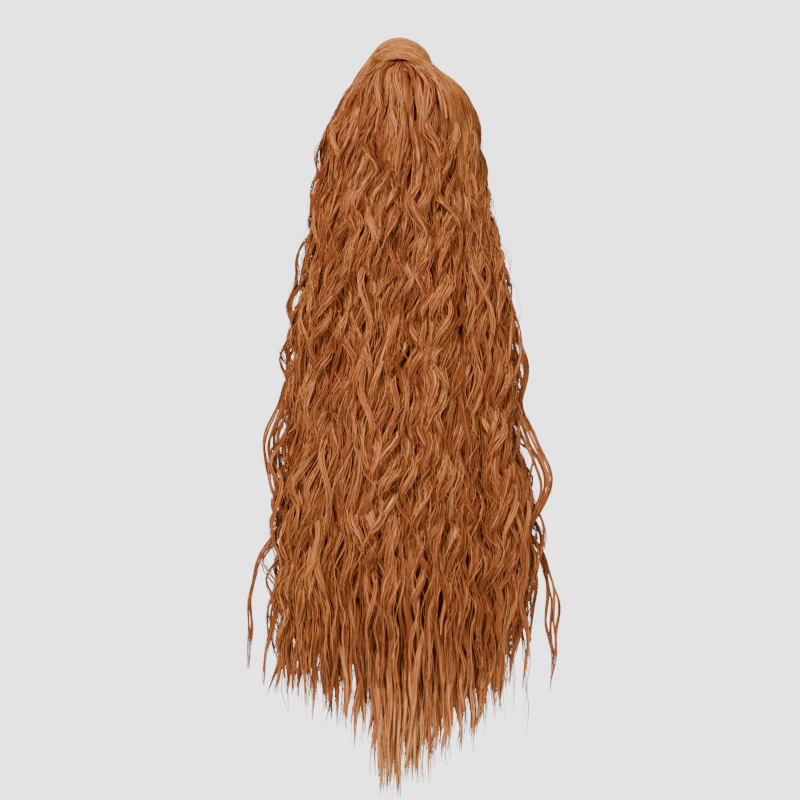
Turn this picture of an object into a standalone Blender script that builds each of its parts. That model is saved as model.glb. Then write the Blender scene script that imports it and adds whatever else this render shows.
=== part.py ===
"""Clip-in ponytail hair extension in its worn form.

A long wavy tail falls from a short band. A smooth lock is wound round the band and hides it, and a
comb inside the band pins it into gathered hair. Units are metres. X runs to the right as seen from
behind the wearer, +Y points to the head and +Z is up. The origin is the point on the scalp where the
wearer's own hair is gathered.
"""

import math
from collections import namedtuple

import bpy
import numpy as np

# Clearance between neighbouring pieces
PIECE_GAP = 0.0003

# The band that the hair is sewn to, and how it stands off the scalp
BAND_BORE_RADIUS = 0.016
BAND_WALL = 0.002
BAND_LENGTH = 0.022
BASE_STAND = 0.038
BASE_DROP = 0.0045
BASE_TILT = math.radians(35.0)

# The lock wound round the band
WRAP_WIDTH = 0.024
WRAP_THICKNESS = 0.007
WRAP_FOOT_HALF_WIDTH = 0.0085
WRAP_FOOT_HALF_THICKNESS = 0.0035

# The comb inside the band
COMB_HALF_ANGLE = math.radians(32.0)
COMB_TEETH = 7
COMB_THICKNESS = 0.002
COMB_SPINE_LENGTH = 0.004
COMB_TOOTH_LENGTH = 0.016
COMB_TOOTH_BEND = 0.0035
COMB_INSET = 0.003

# The tail: how far it falls below the origin, and its largest halves
TAIL_DROP = 0.603
TAIL_HALF_WIDTH = 0.110
TAIL_HALF_DEPTH = 0.032
TAIL_STAND = 0.057
TAIL_ROOT_DEPTH = 0.006
SIDE_SWING = 0.048

# Its waves and the ridges between its locks
WAVE_LENGTH = 0.052
WAVE_HEIGHT = 0.004
RIDGE_HEIGHT = 0.0034
RIDGE_COUNT = 11
LOCK_HALF_WIDTH = 0.0135
LOCK_FLATNESS = 0.6
FACE_LOCK_HALF_WIDTH = 0.0105
FACE_LOCK_FLATNESS = 0.48
LOCK_TIP_RADIUS = 0.0012

# How fine the facets are
CORE_SIDES = 42
CORE_STEP = 0.0125
LOCK_SIDES = 6
LOCK_STEP = 0.012
ROUND_SIDES = 40
WRAP_SIDES = 12

# Sections of the fall from the mouth of the band down. drop is a share of TAIL_DROP, stand of
# TAIL_STAND, lean of the mouth's slope, left and right of TAIL_HALF_WIDTH, front and back of
# TAIL_HALF_DEPTH, cradle of SIDE_SWING, by which the sides swing to the head, and wave of a full wave.
FallRow = namedtuple("FallRow", "drop stand lean left right front back cradle wave")
FALL_ROWS = (
    FallRow(0.0217, 0.883, 1.00, 0.190, 0.200, 0.55, 0.62, 0.00, 0.00),
    FallRow(0.0330, 0.956, 0.90, 0.310, 0.335, 0.69, 0.78, 0.12, 0.10),
    FallRow(0.0530, 1.000, 0.68, 0.430, 0.465, 0.78, 0.84, 0.50, 0.30),
    FallRow(0.0830, 1.018, 0.38, 0.510, 0.550, 0.81, 0.90, 0.88, 0.45),
    FallRow(0.1240, 1.009, 0.14, 0.560, 0.595, 0.87, 0.90, 1.00, 0.60),
    FallRow(0.1820, 1.000, 0.00, 0.630, 0.640, 0.91, 0.90, 0.75, 0.80),
    FallRow(0.2490, 1.000, 0.00, 0.675, 0.730, 0.94, 0.90, 0.40, 1.00),
    FallRow(0.3150, 1.000, 0.00, 0.735, 0.800, 0.96, 0.90, 0.15, 1.00),
    FallRow(0.3810, 1.000, 0.00, 0.790, 0.835, 0.98, 0.90, 0.00, 1.00),
    FallRow(0.4480, 1.000, 0.00, 0.800, 0.850, 0.99, 0.90, 0.00, 1.00),
    FallRow(0.5140, 1.000, 0.00, 0.815, 0.850, 1.00, 0.90, 0.00, 1.00),
    FallRow(0.5800, 1.000, 0.00, 0.855, 0.930, 1.00, 0.90, 0.00, 1.00),
    FallRow(0.6470, 1.000, 0.00, 0.865, 0.965, 0.99, 0.89, 0.00, 1.00),
    FallRow(0.7130, 1.000, 0.00, 0.900, 0.985, 0.96, 0.86, 0.00, 0.90),
    FallRow(0.7790, 1.000, 0.00, 0.820, 0.950, 0.84, 0.78, 0.00, 0.70),
    FallRow(0.8210, 1.000, 0.00, 0.690, 0.830, 0.66, 0.60, 0.00, 0.50),
    FallRow(0.8540, 1.000, 0.00, 0.500, 0.660, 0.48, 0.44, 0.00, 0.40),
    FallRow(0.8850, 1.000, 0.00, 0.300, 0.480, 0.34, 0.31, 0.00, 0.30),
    FallRow(0.9120, 1.000, 0.00, 0.170, 0.300, 0.23, 0.21, 0.00, 0.20),
    FallRow(0.9400, 1.000, 0.00, 0.080, 0.120, 0.14, 0.13, 0.00, 0.10),
    FallRow(0.9620, 1.000, 0.00, 0.030, 0.030, 0.05, 0.05, 0.00, 0.00),
)

# Locks that step the hem, left to right. root and tip are shares of TAIL_HALF_WIDTH, start and end
# of TAIL_DROP, out of TAIL_HALF_DEPTH towards the front, and full of LOCK_HALF_WIDTH.
HemLock = namedtuple("HemLock", "root tip start end out full")
HEM_LOCKS = (
    HemLock(-0.74, -0.885, 0.64, 0.872, -0.15, 0.81),
    HemLock(-0.63, -0.710, 0.63, 0.888, 0.35, 0.96),
    HemLock(-0.50, -0.545, 0.62, 0.908, -0.40, 1.00),
    HemLock(-0.37, -0.375, 0.62, 0.912, 0.45, 1.00),
    HemLock(-0.23, -0.235, 0.62, 0.940, -0.35, 1.00),
    HemLock(-0.09, -0.125, 0.62, 0.970, 0.45, 0.96),
    HemLock(0.03, -0.080, 0.64, 1.000, 0.00, 0.89),
    HemLock(0.17, 0.110, 0.62, 0.982, 0.45, 0.96),
    HemLock(0.31, 0.270, 0.62, 0.962, -0.40, 1.00),
    HemLock(0.46, 0.415, 0.62, 0.948, 0.45, 1.00),
    HemLock(0.60, 0.545, 0.62, 0.930, -0.40, 1.00),
    HemLock(0.73, 0.690, 0.63, 0.900, 0.35, 0.96),
    HemLock(0.86, 0.815, 0.64, 0.866, -0.15, 0.81),
)

# Locks that lie on the face of the fall and on its head side. root and tip are shares of the fall's
# half width there, start and end of TAIL_DROP, and side is 1 for the face and -1 for the head side.
FaceLock = namedtuple("FaceLock", "root tip start end side phase")
FACE_LOCKS = (
    FaceLock(-0.72, -0.62, 0.120, 0.700, 1, 0.2),
    FaceLock(-0.30, -0.40, 0.070, 0.770, 1, 2.6),
    FaceLock(0.02, -0.02, 0.060, 0.700, 1, 4.4),
    FaceLock(0.34, 0.38, 0.080, 0.790, 1, 1.1),
    FaceLock(0.74, 0.68, 0.130, 0.720, 1, 3.4),
    FaceLock(-0.45, -0.50, 0.200, 0.740, -1, 1.8),
    FaceLock(0.05, -0.05, 0.220, 0.760, -1, 3.9),
    FaceLock(0.50, 0.48, 0.200, 0.730, -1, 0.4),
)

# Locks that stand clear of the fall at its sides, each a run of rows from its root to its tip. drop is
# a share of TAIL_DROP, across of TAIL_HALF_WIDTH, out of TAIL_HALF_DEPTH and full of LOCK_HALF_WIDTH.
LockRow = namedtuple("LockRow", "drop across out full")
RIGHT_LOOP = (
    LockRow(0.300, 0.66, 0.10, 0.60),
    LockRow(0.355, 0.83, 0.15, 0.64),
    LockRow(0.400, 0.93, 0.15, 0.60),
    LockRow(0.440, 0.92, 0.10, 0.55),
    LockRow(0.475, 0.88, 0.05, 0.60),
    LockRow(0.510, 0.95, 0.10, 0.60),
    LockRow(0.545, 1.06, 0.15, 0.55),
    LockRow(0.575, 1.08, 0.15, 0.51),
    LockRow(0.610, 1.03, 0.10, 0.55),
    LockRow(0.645, 0.92, 0.00, 0.60),
    LockRow(0.680, 0.83, -0.05, 0.55),
)
RIGHT_LOWER = (
    LockRow(0.600, 0.80, -0.10, 0.55),
    LockRow(0.650, 0.99, -0.10, 0.64),
    LockRow(0.690, 1.10, -0.05, 0.60),
    LockRow(0.730, 1.13, 0.00, 0.55),
    LockRow(0.775, 1.14, 0.00, 0.47),
    LockRow(0.820, 1.14, 0.00, 0.30),
    LockRow(0.855, 1.12, 0.00, 0.09),
)
LEFT_ZIGZAG = (
    LockRow(0.380, -0.66, 0.10, 0.60),
    LockRow(0.440, -0.82, 0.15, 0.64),
    LockRow(0.490, -0.92, 0.15, 0.64),
    LockRow(0.530, -0.96, 0.10, 0.60),
    LockRow(0.575, -0.92, 0.05, 0.60),
    LockRow(0.615, -0.85, 0.05, 0.60),
    LockRow(0.650, -0.95, 0.05, 0.60),
    LockRow(0.685, -1.07, 0.10, 0.55),
    LockRow(0.725, -1.11, 0.10, 0.51),
    LockRow(0.775, -1.12, 0.05, 0.34),
    LockRow(0.825, -1.13, 0.05, 0.09),
)
LEFT_LOWER = (
    LockRow(0.640, -0.70, -0.10, 0.60),
    LockRow(0.690, -0.83, -0.10, 0.68),
    LockRow(0.740, -0.93, -0.10, 0.60),
    LockRow(0.790, -0.99, -0.05, 0.43),
    LockRow(0.848, -1.02, 0.00, 0.09),
)
SIDE_LOCKS = (RIGHT_LOOP, RIGHT_LOWER, LEFT_ZIGZAG, LEFT_LOWER)

# The wound lock's foot, which spreads from the band's left side over the tail's shoulder. turn is the
# angle round the band from its top, in degrees. out, outside the wound lock's middle, and along, down
# the band's axis, are shares of WRAP_WIDTH, and full is a share of the foot's section.
FootRow = namedtuple("FootRow", "turn out along full")
WRAP_FOOT = (
    FootRow(-30.0, 0.00, 0.00, 0.60),
    FootRow(-60.0, 0.04, 0.12, 0.90),
    FootRow(-82.0, 0.25, 0.33, 1.00),
    FootRow(-98.0, 0.62, 0.62, 0.85),
    FootRow(-106.0, 0.96, 0.92, 0.35),
)

AXIS_X = np.array((1.0, 0.0, 0.0))
BAND_AXIS = np.array((0.0, -math.cos(BASE_TILT), -math.sin(BASE_TILT)))
BAND_UP = np.array((0.0, -math.sin(BASE_TILT), math.cos(BASE_TILT)))
BAND_CENTRE = np.array((0.0, -BASE_STAND, -BASE_DROP))
BAND_OUTER_RADIUS = BAND_BORE_RADIUS + BAND_WALL
WRAP_INNER_RADIUS = BAND_OUTER_RADIUS + PIECE_GAP
WRAP_OUTER_RADIUS = WRAP_INNER_RADIUS + WRAP_THICKNESS
WRAP_MID_RADIUS = WRAP_INNER_RADIUS + WRAP_THICKNESS / 2.0
MOUTH_LEAN = math.pi / 2.0 - BASE_TILT


def clear_scene():
    """Remove every object that the new file starts with."""
    for item in list(bpy.data.objects):
        bpy.data.objects.remove(item, do_unlink=True)


def base_point(turn, radius, along):
    """Give a point by its angle round the band from the top, its radius and its place on the axis."""
    outward = math.cos(turn) * BAND_UP + math.sin(turn) * AXIS_X
    return BAND_CENTRE + along * BAND_AXIS + radius * outward


def smooth_table(stations, values, places):
    """Read a table between its rows along a smooth curve through them."""
    stations = np.asarray(stations, dtype=float)
    values = np.asarray(values, dtype=float)
    slopes = np.gradient(values, stations, axis=0)
    result = []
    for place in places:
        row = int(np.clip(np.searchsorted(stations, place) - 1, 0, len(stations) - 2))
        span = stations[row + 1] - stations[row]
        part = (place - stations[row]) / span
        start_share = 2 * part**3 - 3 * part**2 + 1
        start_slope = part**3 - 2 * part**2 + part
        end_share = -2 * part**3 + 3 * part**2
        end_slope = part**3 - part**2
        value = start_share * values[row] + end_share * values[row + 1]
        value = value + span * (start_slope * slopes[row] + end_slope * slopes[row + 1])
        result.append(value)
    return np.array(result)


def add_object(name, points, faces, smooth=True):
    """Make a mesh object from points and faces, with its faces turned outward."""
    mesh = bpy.data.meshes.new(name)
    mesh.from_pydata([tuple(point) for point in points], [], faces)
    mesh.validate()
    item = bpy.data.objects.new(name, mesh)
    bpy.context.scene.collection.objects.link(item)
    bpy.context.view_layer.objects.active = item
    bpy.ops.object.select_all(action="DESELECT")
    item.select_set(True)
    bpy.ops.object.mode_set(mode="EDIT")
    bpy.ops.mesh.select_all(action="SELECT")
    bpy.ops.mesh.normals_make_consistent(inside=False)
    bpy.ops.object.mode_set(mode="OBJECT")
    for polygon in mesh.polygons:
        polygon.use_smooth = smooth
    return item


def loft(name, rings, closed_loop=False, smooth=True):
    """Skin a run of rings that have the same number of points, and close its ends."""
    sides = len(rings[0])
    points = [point for ring in rings for point in ring]
    faces = []
    spans = len(rings) if closed_loop else len(rings) - 1
    for ring in range(spans):
        here = ring * sides
        there = (ring + 1) % len(rings) * sides
        for side in range(sides):
            after = (side + 1) % sides
            faces.append((here + side, here + after, there + after, there + side))
    if not closed_loop:
        last = (len(rings) - 1) * sides
        for base in (0, last):
            middle = len(points)
            points.append(np.mean(points[base:base + sides], axis=0))
            for side in range(sides):
                after = (side + 1) % sides
                faces.append((base + side, base + after, middle))
    return add_object(name, points, faces, smooth)


def combine(target, other, operation):
    """Unite the other solid with the target or cut it away, and remove it."""
    boolean = target.modifiers.new("combine", "BOOLEAN")
    boolean.operation = operation
    boolean.solver = "EXACT"
    boolean.object = other
    bpy.ops.object.select_all(action="DESELECT")
    target.select_set(True)
    bpy.context.view_layer.objects.active = target
    bpy.ops.object.modifier_apply(modifier=boolean.name)
    bpy.data.objects.remove(other, do_unlink=True)


def paint(item, name, colour, roughness):
    """Give an object its own plain material."""
    material = bpy.data.materials.new(name)
    material.use_nodes = True
    shader = material.node_tree.nodes["Principled BSDF"]
    shader.inputs["Base Color"].default_value = (*colour, 1.0)
    shader.inputs["Roughness"].default_value = roughness
    item.data.materials.clear()
    item.data.materials.append(material)


def wave_offset(drop, phase):
    """Give the sideways swing of the hair's waves at a depth below the origin."""
    return WAVE_HEIGHT * math.sin(2.0 * math.pi * drop / WAVE_LENGTH + phase)


def side_swing(cradle, across):
    """Give how far a point beside the middle swings to the head, so that the fall cups the head."""
    return SIDE_SWING * cradle * (across / TAIL_HALF_WIDTH) ** 2


def fall_ring(row):
    """Give the ridged outline of the fall at one of its sections."""
    drop, stand, lean, left, right, front, back, cradle, wave = row
    slope = MOUTH_LEAN * lean
    forward = np.array((0.0, -math.cos(slope), math.sin(slope)))
    centre = np.array((0.0, -TAIL_STAND * stand, -TAIL_DROP * drop))
    ring = []
    for side in range(CORE_SIDES):
        angle = 2.0 * math.pi * side / CORE_SIDES
        across_share = math.cos(angle)
        depth_share = math.sin(angle)
        half_width = TAIL_HALF_WIDTH * (right if across_share > 0.0 else left)
        half_depth = TAIL_HALF_DEPTH * (front if depth_share > 0.0 else back)
        across = half_width * math.copysign(abs(across_share) ** 0.9, across_share)
        depth = half_depth * math.copysign(abs(depth_share) ** 0.85, depth_share)
        ridge = wave * RIDGE_HEIGHT * math.cos(RIDGE_COUNT * angle)
        across += ridge * across_share + wave * wave_offset(TAIL_DROP * drop, 1.3 * depth_share)
        depth += ridge * depth_share
        point = centre + across * AXIS_X + depth * forward
        point[1] += side_swing(cradle, across)
        ring.append(point)
    return ring


def root_ring(along):
    """Give the outline of the tail's root where it fills the band's mouth."""
    ring = []
    for side in range(CORE_SIDES):
        angle = 2.0 * math.pi * side / CORE_SIDES
        ring.append(base_point(math.pi / 2.0 - angle, BAND_BORE_RADIUS, along))
    return ring


def fall_core():
    """Make the body of the fall, from its root in the band to its thin end."""
    stations = [row.drop for row in FALL_ROWS]
    places = [stations[0]]
    for start, end in zip(stations, stations[1:]):
        steps = max(1, round((end - start) * TAIL_DROP / CORE_STEP))
        places.extend(np.linspace(start, end, steps + 1)[1:])
    mouth = WRAP_WIDTH / 2.0 + 2.0 * PIECE_GAP
    rings = [root_ring(BAND_LENGTH / 2.0 - TAIL_ROOT_DEPTH), root_ring(mouth)]
    for row in smooth_table(stations, FALL_ROWS, places):
        rings.append(fall_ring(row))
    return loft("tail", rings)


def lock_solid(name, centres, half_widths, flatness=LOCK_FLATNESS):
    """Sweep a flat rounded section down a lock's centre line."""
    centres = np.asarray(centres)
    runs = np.gradient(centres, axis=0)
    rings = []
    for centre, run, half_width in zip(centres, runs, half_widths):
        run = run / np.linalg.norm(run)
        thick_way = np.array((0.0, -1.0, 0.0))
        thick_way = thick_way - run * thick_way.dot(run)
        thick_way = thick_way / np.linalg.norm(thick_way)
        wide_way = np.cross(thick_way, run)
        ring = []
        for side in range(LOCK_SIDES):
            angle = 2.0 * math.pi * (side + 0.5) / LOCK_SIDES
            wide = half_width * math.cos(angle)
            thick = flatness * half_width * math.sin(angle)
            ring.append(centre + wide * wide_way + thick * thick_way)
        rings.append(ring)
    return loft(name, rings)


def hem_lock(number, lock):
    """Make one lock of the stepped hem, wavy at its root and straight at its tip."""
    length = TAIL_DROP * (lock.end - lock.start)
    steps = max(4, round(length / LOCK_STEP))
    centres = []
    half_widths = []
    for step in range(steps + 1):
        part = step / steps
        drop = TAIL_DROP * (lock.start + (lock.end - lock.start) * part)
        across = TAIL_HALF_WIDTH * (lock.root + (lock.tip - lock.root) * part)
        across += 0.8 * (1.0 - part) * wave_offset(drop, 1.1 * number)
        stand = TAIL_STAND + TAIL_HALF_DEPTH * lock.out * (1.0 - 0.5 * part)
        fullness = (1.0 - (max(0.0, part - 0.4) / 0.6) ** 2) ** 0.8
        centres.append((across, -stand, -drop))
        half_widths.append(max(LOCK_TIP_RADIUS, LOCK_HALF_WIDTH * lock.full * fullness))
    return lock_solid("hem_lock_%02d" % number, centres, half_widths)


def face_lock(number, lock):
    """Make one wavy lock that lies half sunk in the fall's face or its head side."""
    stations = [row.drop for row in FALL_ROWS]
    length = TAIL_DROP * (lock.end - lock.start)
    steps = round(length / LOCK_STEP)
    places = np.linspace(lock.start, lock.end, steps + 1)
    centres = []
    half_widths = []
    for part, row in zip(np.linspace(0.0, 1.0, steps + 1), smooth_table(stations, FALL_ROWS, places)):
        drop, stand, lean, left, right, front, back, cradle, wave = row
        share = lock.root + (lock.tip - lock.root) * part
        slope = MOUTH_LEAN * lean
        across = TAIL_HALF_WIDTH * share * (right if share > 0.0 else left)
        across += 1.3 * wave * wave_offset(TAIL_DROP * drop, lock.phase)
        depth = TAIL_HALF_DEPTH * (front if lock.side > 0 else -back)
        depth *= math.sqrt(1.0 - share**2) ** 0.85
        sink = 1.0 - 0.25 * (2.0 * part - 1.0) ** 8
        stand = TAIL_STAND * stand + depth * sink * math.cos(slope)
        height = depth * sink * math.sin(slope) - TAIL_DROP * drop
        centres.append((across, side_swing(cradle, across) - stand, height))
        fullness = 1.0 - (2.0 * part - 1.0) ** 6
        half_widths.append(max(LOCK_TIP_RADIUS, FACE_LOCK_HALF_WIDTH * fullness))
    return lock_solid("face_lock_%02d" % number, centres, half_widths, FACE_LOCK_FLATNESS)


def side_lock(number, rows):
    """Make one lock that stands clear of the fall."""
    stations = [row.drop for row in rows]
    length = TAIL_DROP * (stations[-1] - stations[0])
    places = np.linspace(stations[0], stations[-1], round(length / LOCK_STEP) + 1)
    centres = []
    half_widths = []
    for drop, across, out, full in smooth_table(stations, rows, places):
        stand = TAIL_STAND + TAIL_HALF_DEPTH * out
        centres.append((TAIL_HALF_WIDTH * across, -stand, -TAIL_DROP * drop))
        half_widths.append(max(LOCK_TIP_RADIUS, LOCK_HALF_WIDTH * full))
    return lock_solid("side_lock_%02d" % number, centres, half_widths)


def wrap_ring(name):
    """Make the full turn of the wound lock, a rounded flat section swept round the band."""
    rings = []
    for step in range(ROUND_SIDES):
        turn = 2.0 * math.pi * step / ROUND_SIDES
        ring = []
        for side in range(WRAP_SIDES):
            angle = 2.0 * math.pi * (side + 0.5) / WRAP_SIDES
            wide = WRAP_WIDTH / 2.0 * math.copysign(abs(math.cos(angle)) ** 0.6, math.cos(angle))
            thick = WRAP_THICKNESS / 2.0 * math.copysign(abs(math.sin(angle)) ** 0.6, math.sin(angle))
            ring.append(base_point(turn, WRAP_MID_RADIUS + thick, wide))
        rings.append(ring)
    return loft(name, rings, closed_loop=True)


def wrap_foot(name, grow):
    """Make the wound lock's foot, larger all round by a given clearance."""
    stations = np.arange(len(WRAP_FOOT), dtype=float)
    places = np.linspace(0.0, stations[-1], 13)
    rings = []
    for turn, out, along, full in smooth_table(stations, WRAP_FOOT, places):
        turn = math.radians(turn)
        centre = base_point(turn, WRAP_MID_RADIUS + WRAP_WIDTH * out, WRAP_WIDTH * along)
        outward = math.cos(turn) * BAND_UP + math.sin(turn) * AXIS_X
        ring = []
        for side in range(WRAP_SIDES):
            angle = 2.0 * math.pi * (side + 0.5) / WRAP_SIDES
            wide = (WRAP_FOOT_HALF_WIDTH * full + grow) * math.cos(angle)
            thick = (WRAP_FOOT_HALF_THICKNESS * full + grow) * math.sin(angle)
            ring.append(centre + wide * BAND_AXIS + thick * outward)
        rings.append(ring)
    return loft(name, rings)


def ring_wall(name, inner, outer, half_length):
    """Make a plain tube on the band's axis."""
    corners = ((inner, -half_length), (outer, -half_length), (outer, half_length), (inner, half_length))
    rings = []
    for step in range(ROUND_SIDES):
        turn = 2.0 * math.pi * (step + 0.5) / ROUND_SIDES
        rings.append([base_point(turn, radius, along) for radius, along in corners])
    return loft(name, rings, closed_loop=True)


def build_tail():
    """Unite the fall with its locks, then clear the room that the base takes."""
    tail = fall_core()
    for number, lock in enumerate(FACE_LOCKS):
        combine(tail, face_lock(number, lock), "UNION")
    for number, lock in enumerate(HEM_LOCKS):
        combine(tail, hem_lock(number, lock), "UNION")
    for number, rows in enumerate(SIDE_LOCKS):
        combine(tail, side_lock(number, rows), "UNION")
    base_room = ring_wall(
        "base_room",
        BAND_BORE_RADIUS - PIECE_GAP,
        WRAP_OUTER_RADIUS + PIECE_GAP,
        WRAP_WIDTH / 2.0 + PIECE_GAP,
    )
    combine(tail, base_room, "DIFFERENCE")
    combine(tail, wrap_foot("foot_room", PIECE_GAP), "DIFFERENCE")
    paint(tail, "tail_hair", (0.30, 0.085, 0.025), 0.45)
    return tail


def build_wrap():
    """Make the wound lock from its full turn and its foot."""
    wrap = wrap_ring("wrap_lock")
    combine(wrap, wrap_foot("foot", 0.0), "UNION")
    paint(wrap, "wrap_hair", (0.50, 0.20, 0.075), 0.40)
    return wrap


def build_band():
    """Make the plain band inside the wound lock."""
    band = ring_wall("base_band", BAND_BORE_RADIUS, BAND_OUTER_RADIUS, BAND_LENGTH / 2.0)
    for polygon in band.data.polygons:
        polygon.use_smooth = False
    paint(band, "band_fabric", (0.10, 0.035, 0.015), 0.85)
    return band


def build_comb():
    """Make the comb: an arched spine inside the band's top, with teeth that bend to its axis."""
    outer = BAND_BORE_RADIUS - PIECE_GAP
    inner = outer - COMB_THICKNESS
    spine_end = -BAND_LENGTH / 2.0 + COMB_INSET + COMB_SPINE_LENGTH
    spine_start = -BAND_LENGTH / 2.0 + COMB_INSET
    parts = 2 * COMB_TEETH - 1
    points = []
    faces = []
    for edge in range(parts + 1):
        turn = COMB_HALF_ANGLE * (2.0 * edge / parts - 1.0)
        for along in (spine_end, spine_start):
            points.append(base_point(turn, outer, along))
            points.append(base_point(turn, inner, along))
    for part in range(parts):
        here = 4 * part
        there = here + 4
        faces.append((here, there, there + 1, here + 1))
        faces.append((here, here + 2, there + 2, there))
        faces.append((here + 1, there + 1, there + 3, here + 3))
        root = (here + 2, here + 3, there + 3, there + 2)
        if part % 2:
            faces.append(root)
            continue
        for reach, bend, slim in ((0.55, 0.35, 0.80), (1.0, 1.0, 0.45)):
            middle = COMB_HALF_ANGLE * ((2.0 * part + 1.0) / parts - 1.0)
            half_turn = COMB_HALF_ANGLE / parts * slim
            along = spine_start - COMB_TOOTH_LENGTH * reach
            outside = outer - COMB_TOOTH_BEND * bend
            inside = outside - COMB_THICKNESS * slim
            first = len(points)
            points.append(base_point(middle - half_turn, outside, along))
            points.append(base_point(middle - half_turn, inside, along))
            points.append(base_point(middle + half_turn, inside, along))
            points.append(base_point(middle + half_turn, outside, along))
            tip = (first, first + 1, first + 2, first + 3)
            for corner in range(4):
                after = (corner + 1) % 4
                faces.append((root[corner], root[after], tip[after], tip[corner]))
            root = tip
        faces.append(root)
    faces.append((0, 1, 3, 2))
    last = 4 * parts
    faces.append((last, last + 2, last + 3, last + 1))
    comb = add_object("comb", points, faces, smooth=False)
    paint(comb, "comb_plastic", (0.03, 0.018, 0.012), 0.35)
    return comb


def main():
    """Build the pieces in order."""
    clear_scene()
    build_band()
    build_comb()
    build_wrap()
    build_tail()


main()
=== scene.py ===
"""A wavy clip-in ponytail hair extension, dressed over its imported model.

The tail is laid in wavy locks over a streaked under body: a closed ribbon for each lock's mass, with
three-sided hairs on it. A smooth lock is wound round the base, with a sewn band and a comb inside it.
Lengths are in metres. X runs to the right as seen from behind the wearer, +Y points to the head and +Z
is up.
"""

import logging
import math
from dataclasses import dataclass, field
from enum import Enum
from typing import NamedTuple

import bpy
import numpy as np
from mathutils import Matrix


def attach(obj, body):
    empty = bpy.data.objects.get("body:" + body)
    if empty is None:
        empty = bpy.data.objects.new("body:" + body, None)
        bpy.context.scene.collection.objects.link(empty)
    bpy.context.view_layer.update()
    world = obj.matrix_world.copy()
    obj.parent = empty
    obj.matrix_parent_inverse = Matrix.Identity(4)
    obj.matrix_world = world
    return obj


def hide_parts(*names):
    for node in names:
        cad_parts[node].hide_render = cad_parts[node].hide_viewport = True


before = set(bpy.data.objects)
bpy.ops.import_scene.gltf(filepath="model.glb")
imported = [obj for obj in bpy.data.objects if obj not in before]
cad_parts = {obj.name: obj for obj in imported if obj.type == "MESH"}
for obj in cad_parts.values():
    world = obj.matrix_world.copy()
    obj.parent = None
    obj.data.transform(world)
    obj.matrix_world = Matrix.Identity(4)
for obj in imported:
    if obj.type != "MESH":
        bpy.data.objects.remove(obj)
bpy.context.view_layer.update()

LOG = logging.getLogger("hair_extension")
BODY = "root"

# The tone of hair that is neither dark nor light, and the whitest colour
EVEN_TONE = 0.47
WHITE = (1.0, 1.0, 1.0, 1.0)

# How near two points are merged, and the angle up to which a moulded piece is shaded smooth
MERGE = 0.00001
SMOOTH = math.radians(40.0)

# Steps that scatter numbered locks evenly over one share, or over two at once
GOLDEN_STEP = 0.618034
ROUND_STEP = 0.7548777
DOWN_STEP = 0.5698403

# What phases and the two ways of curling are drawn from
PHASES = (0.0, 6.28)
HANDS = (-1.0, 1.0)
HAND_ODDS = (0.2, 0.8)


class Slot(Enum):
    """The record's material slots."""

    TAIL = "tail_hair"
    WRAP = "wrap_hair"
    BAND = "band_fabric"
    COMB = "comb_plastic"


class FallRow(NamedTuple):
    """One section of the fall, as shares of its named sizes."""

    drop: float
    stand: float
    lean: float
    left: float
    right: float
    front: float
    back: float
    cradle: float
    wave: float


FALL_ROWS = (
    FallRow(0.0217, 0.883, 1.00, 0.190, 0.200, 0.55, 0.62, 0.00, 0.00),
    FallRow(0.0330, 0.956, 0.90, 0.310, 0.335, 0.69, 0.78, 0.12, 0.30),
    FallRow(0.0530, 1.000, 0.68, 0.430, 0.465, 0.78, 0.84, 0.50, 0.55),
    FallRow(0.0830, 1.018, 0.38, 0.510, 0.550, 0.81, 0.90, 0.88, 0.80),
    FallRow(0.1240, 1.009, 0.14, 0.560, 0.595, 0.87, 0.90, 1.00, 0.95),
    FallRow(0.1820, 1.000, 0.00, 0.630, 0.640, 0.91, 0.90, 0.75, 1.00),
    FallRow(0.2490, 1.000, 0.00, 0.675, 0.730, 0.94, 0.90, 0.40, 1.00),
    FallRow(0.3150, 1.000, 0.00, 0.735, 0.800, 0.96, 0.90, 0.15, 1.00),
    FallRow(0.3810, 1.000, 0.00, 0.790, 0.835, 0.98, 0.90, 0.00, 1.00),
    FallRow(0.4480, 1.000, 0.00, 0.800, 0.850, 0.99, 0.90, 0.00, 1.00),
    FallRow(0.5140, 1.000, 0.00, 0.815, 0.850, 1.00, 0.90, 0.00, 1.00),
    FallRow(0.5800, 1.000, 0.00, 0.855, 0.930, 1.00, 0.90, 0.00, 1.00),
    FallRow(0.6470, 1.000, 0.00, 0.865, 0.965, 0.99, 0.89, 0.00, 1.00),
    FallRow(0.7130, 1.000, 0.00, 0.900, 0.985, 0.96, 0.86, 0.00, 0.90),
    FallRow(0.7790, 1.000, 0.00, 0.820, 0.950, 0.84, 0.78, 0.00, 0.70),
    FallRow(0.8210, 1.000, 0.00, 0.690, 0.830, 0.66, 0.60, 0.00, 0.50),
    FallRow(0.8540, 1.000, 0.00, 0.500, 0.660, 0.48, 0.44, 0.00, 0.40),
    FallRow(0.8850, 1.000, 0.00, 0.300, 0.480, 0.34, 0.31, 0.00, 0.30),
    FallRow(0.9120, 1.000, 0.00, 0.170, 0.300, 0.23, 0.21, 0.00, 0.20),
    FallRow(0.9400, 1.000, 0.00, 0.080, 0.120, 0.14, 0.13, 0.00, 0.10),
    FallRow(0.9620, 1.000, 0.00, 0.030, 0.030, 0.05, 0.05, 0.00, 0.00),
)


class HemLock(NamedTuple):
    """One lock of the stepped hem: root, tip and depth as shares of the fall's halves."""

    root: float
    tip: float
    end: float
    out: float


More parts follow.
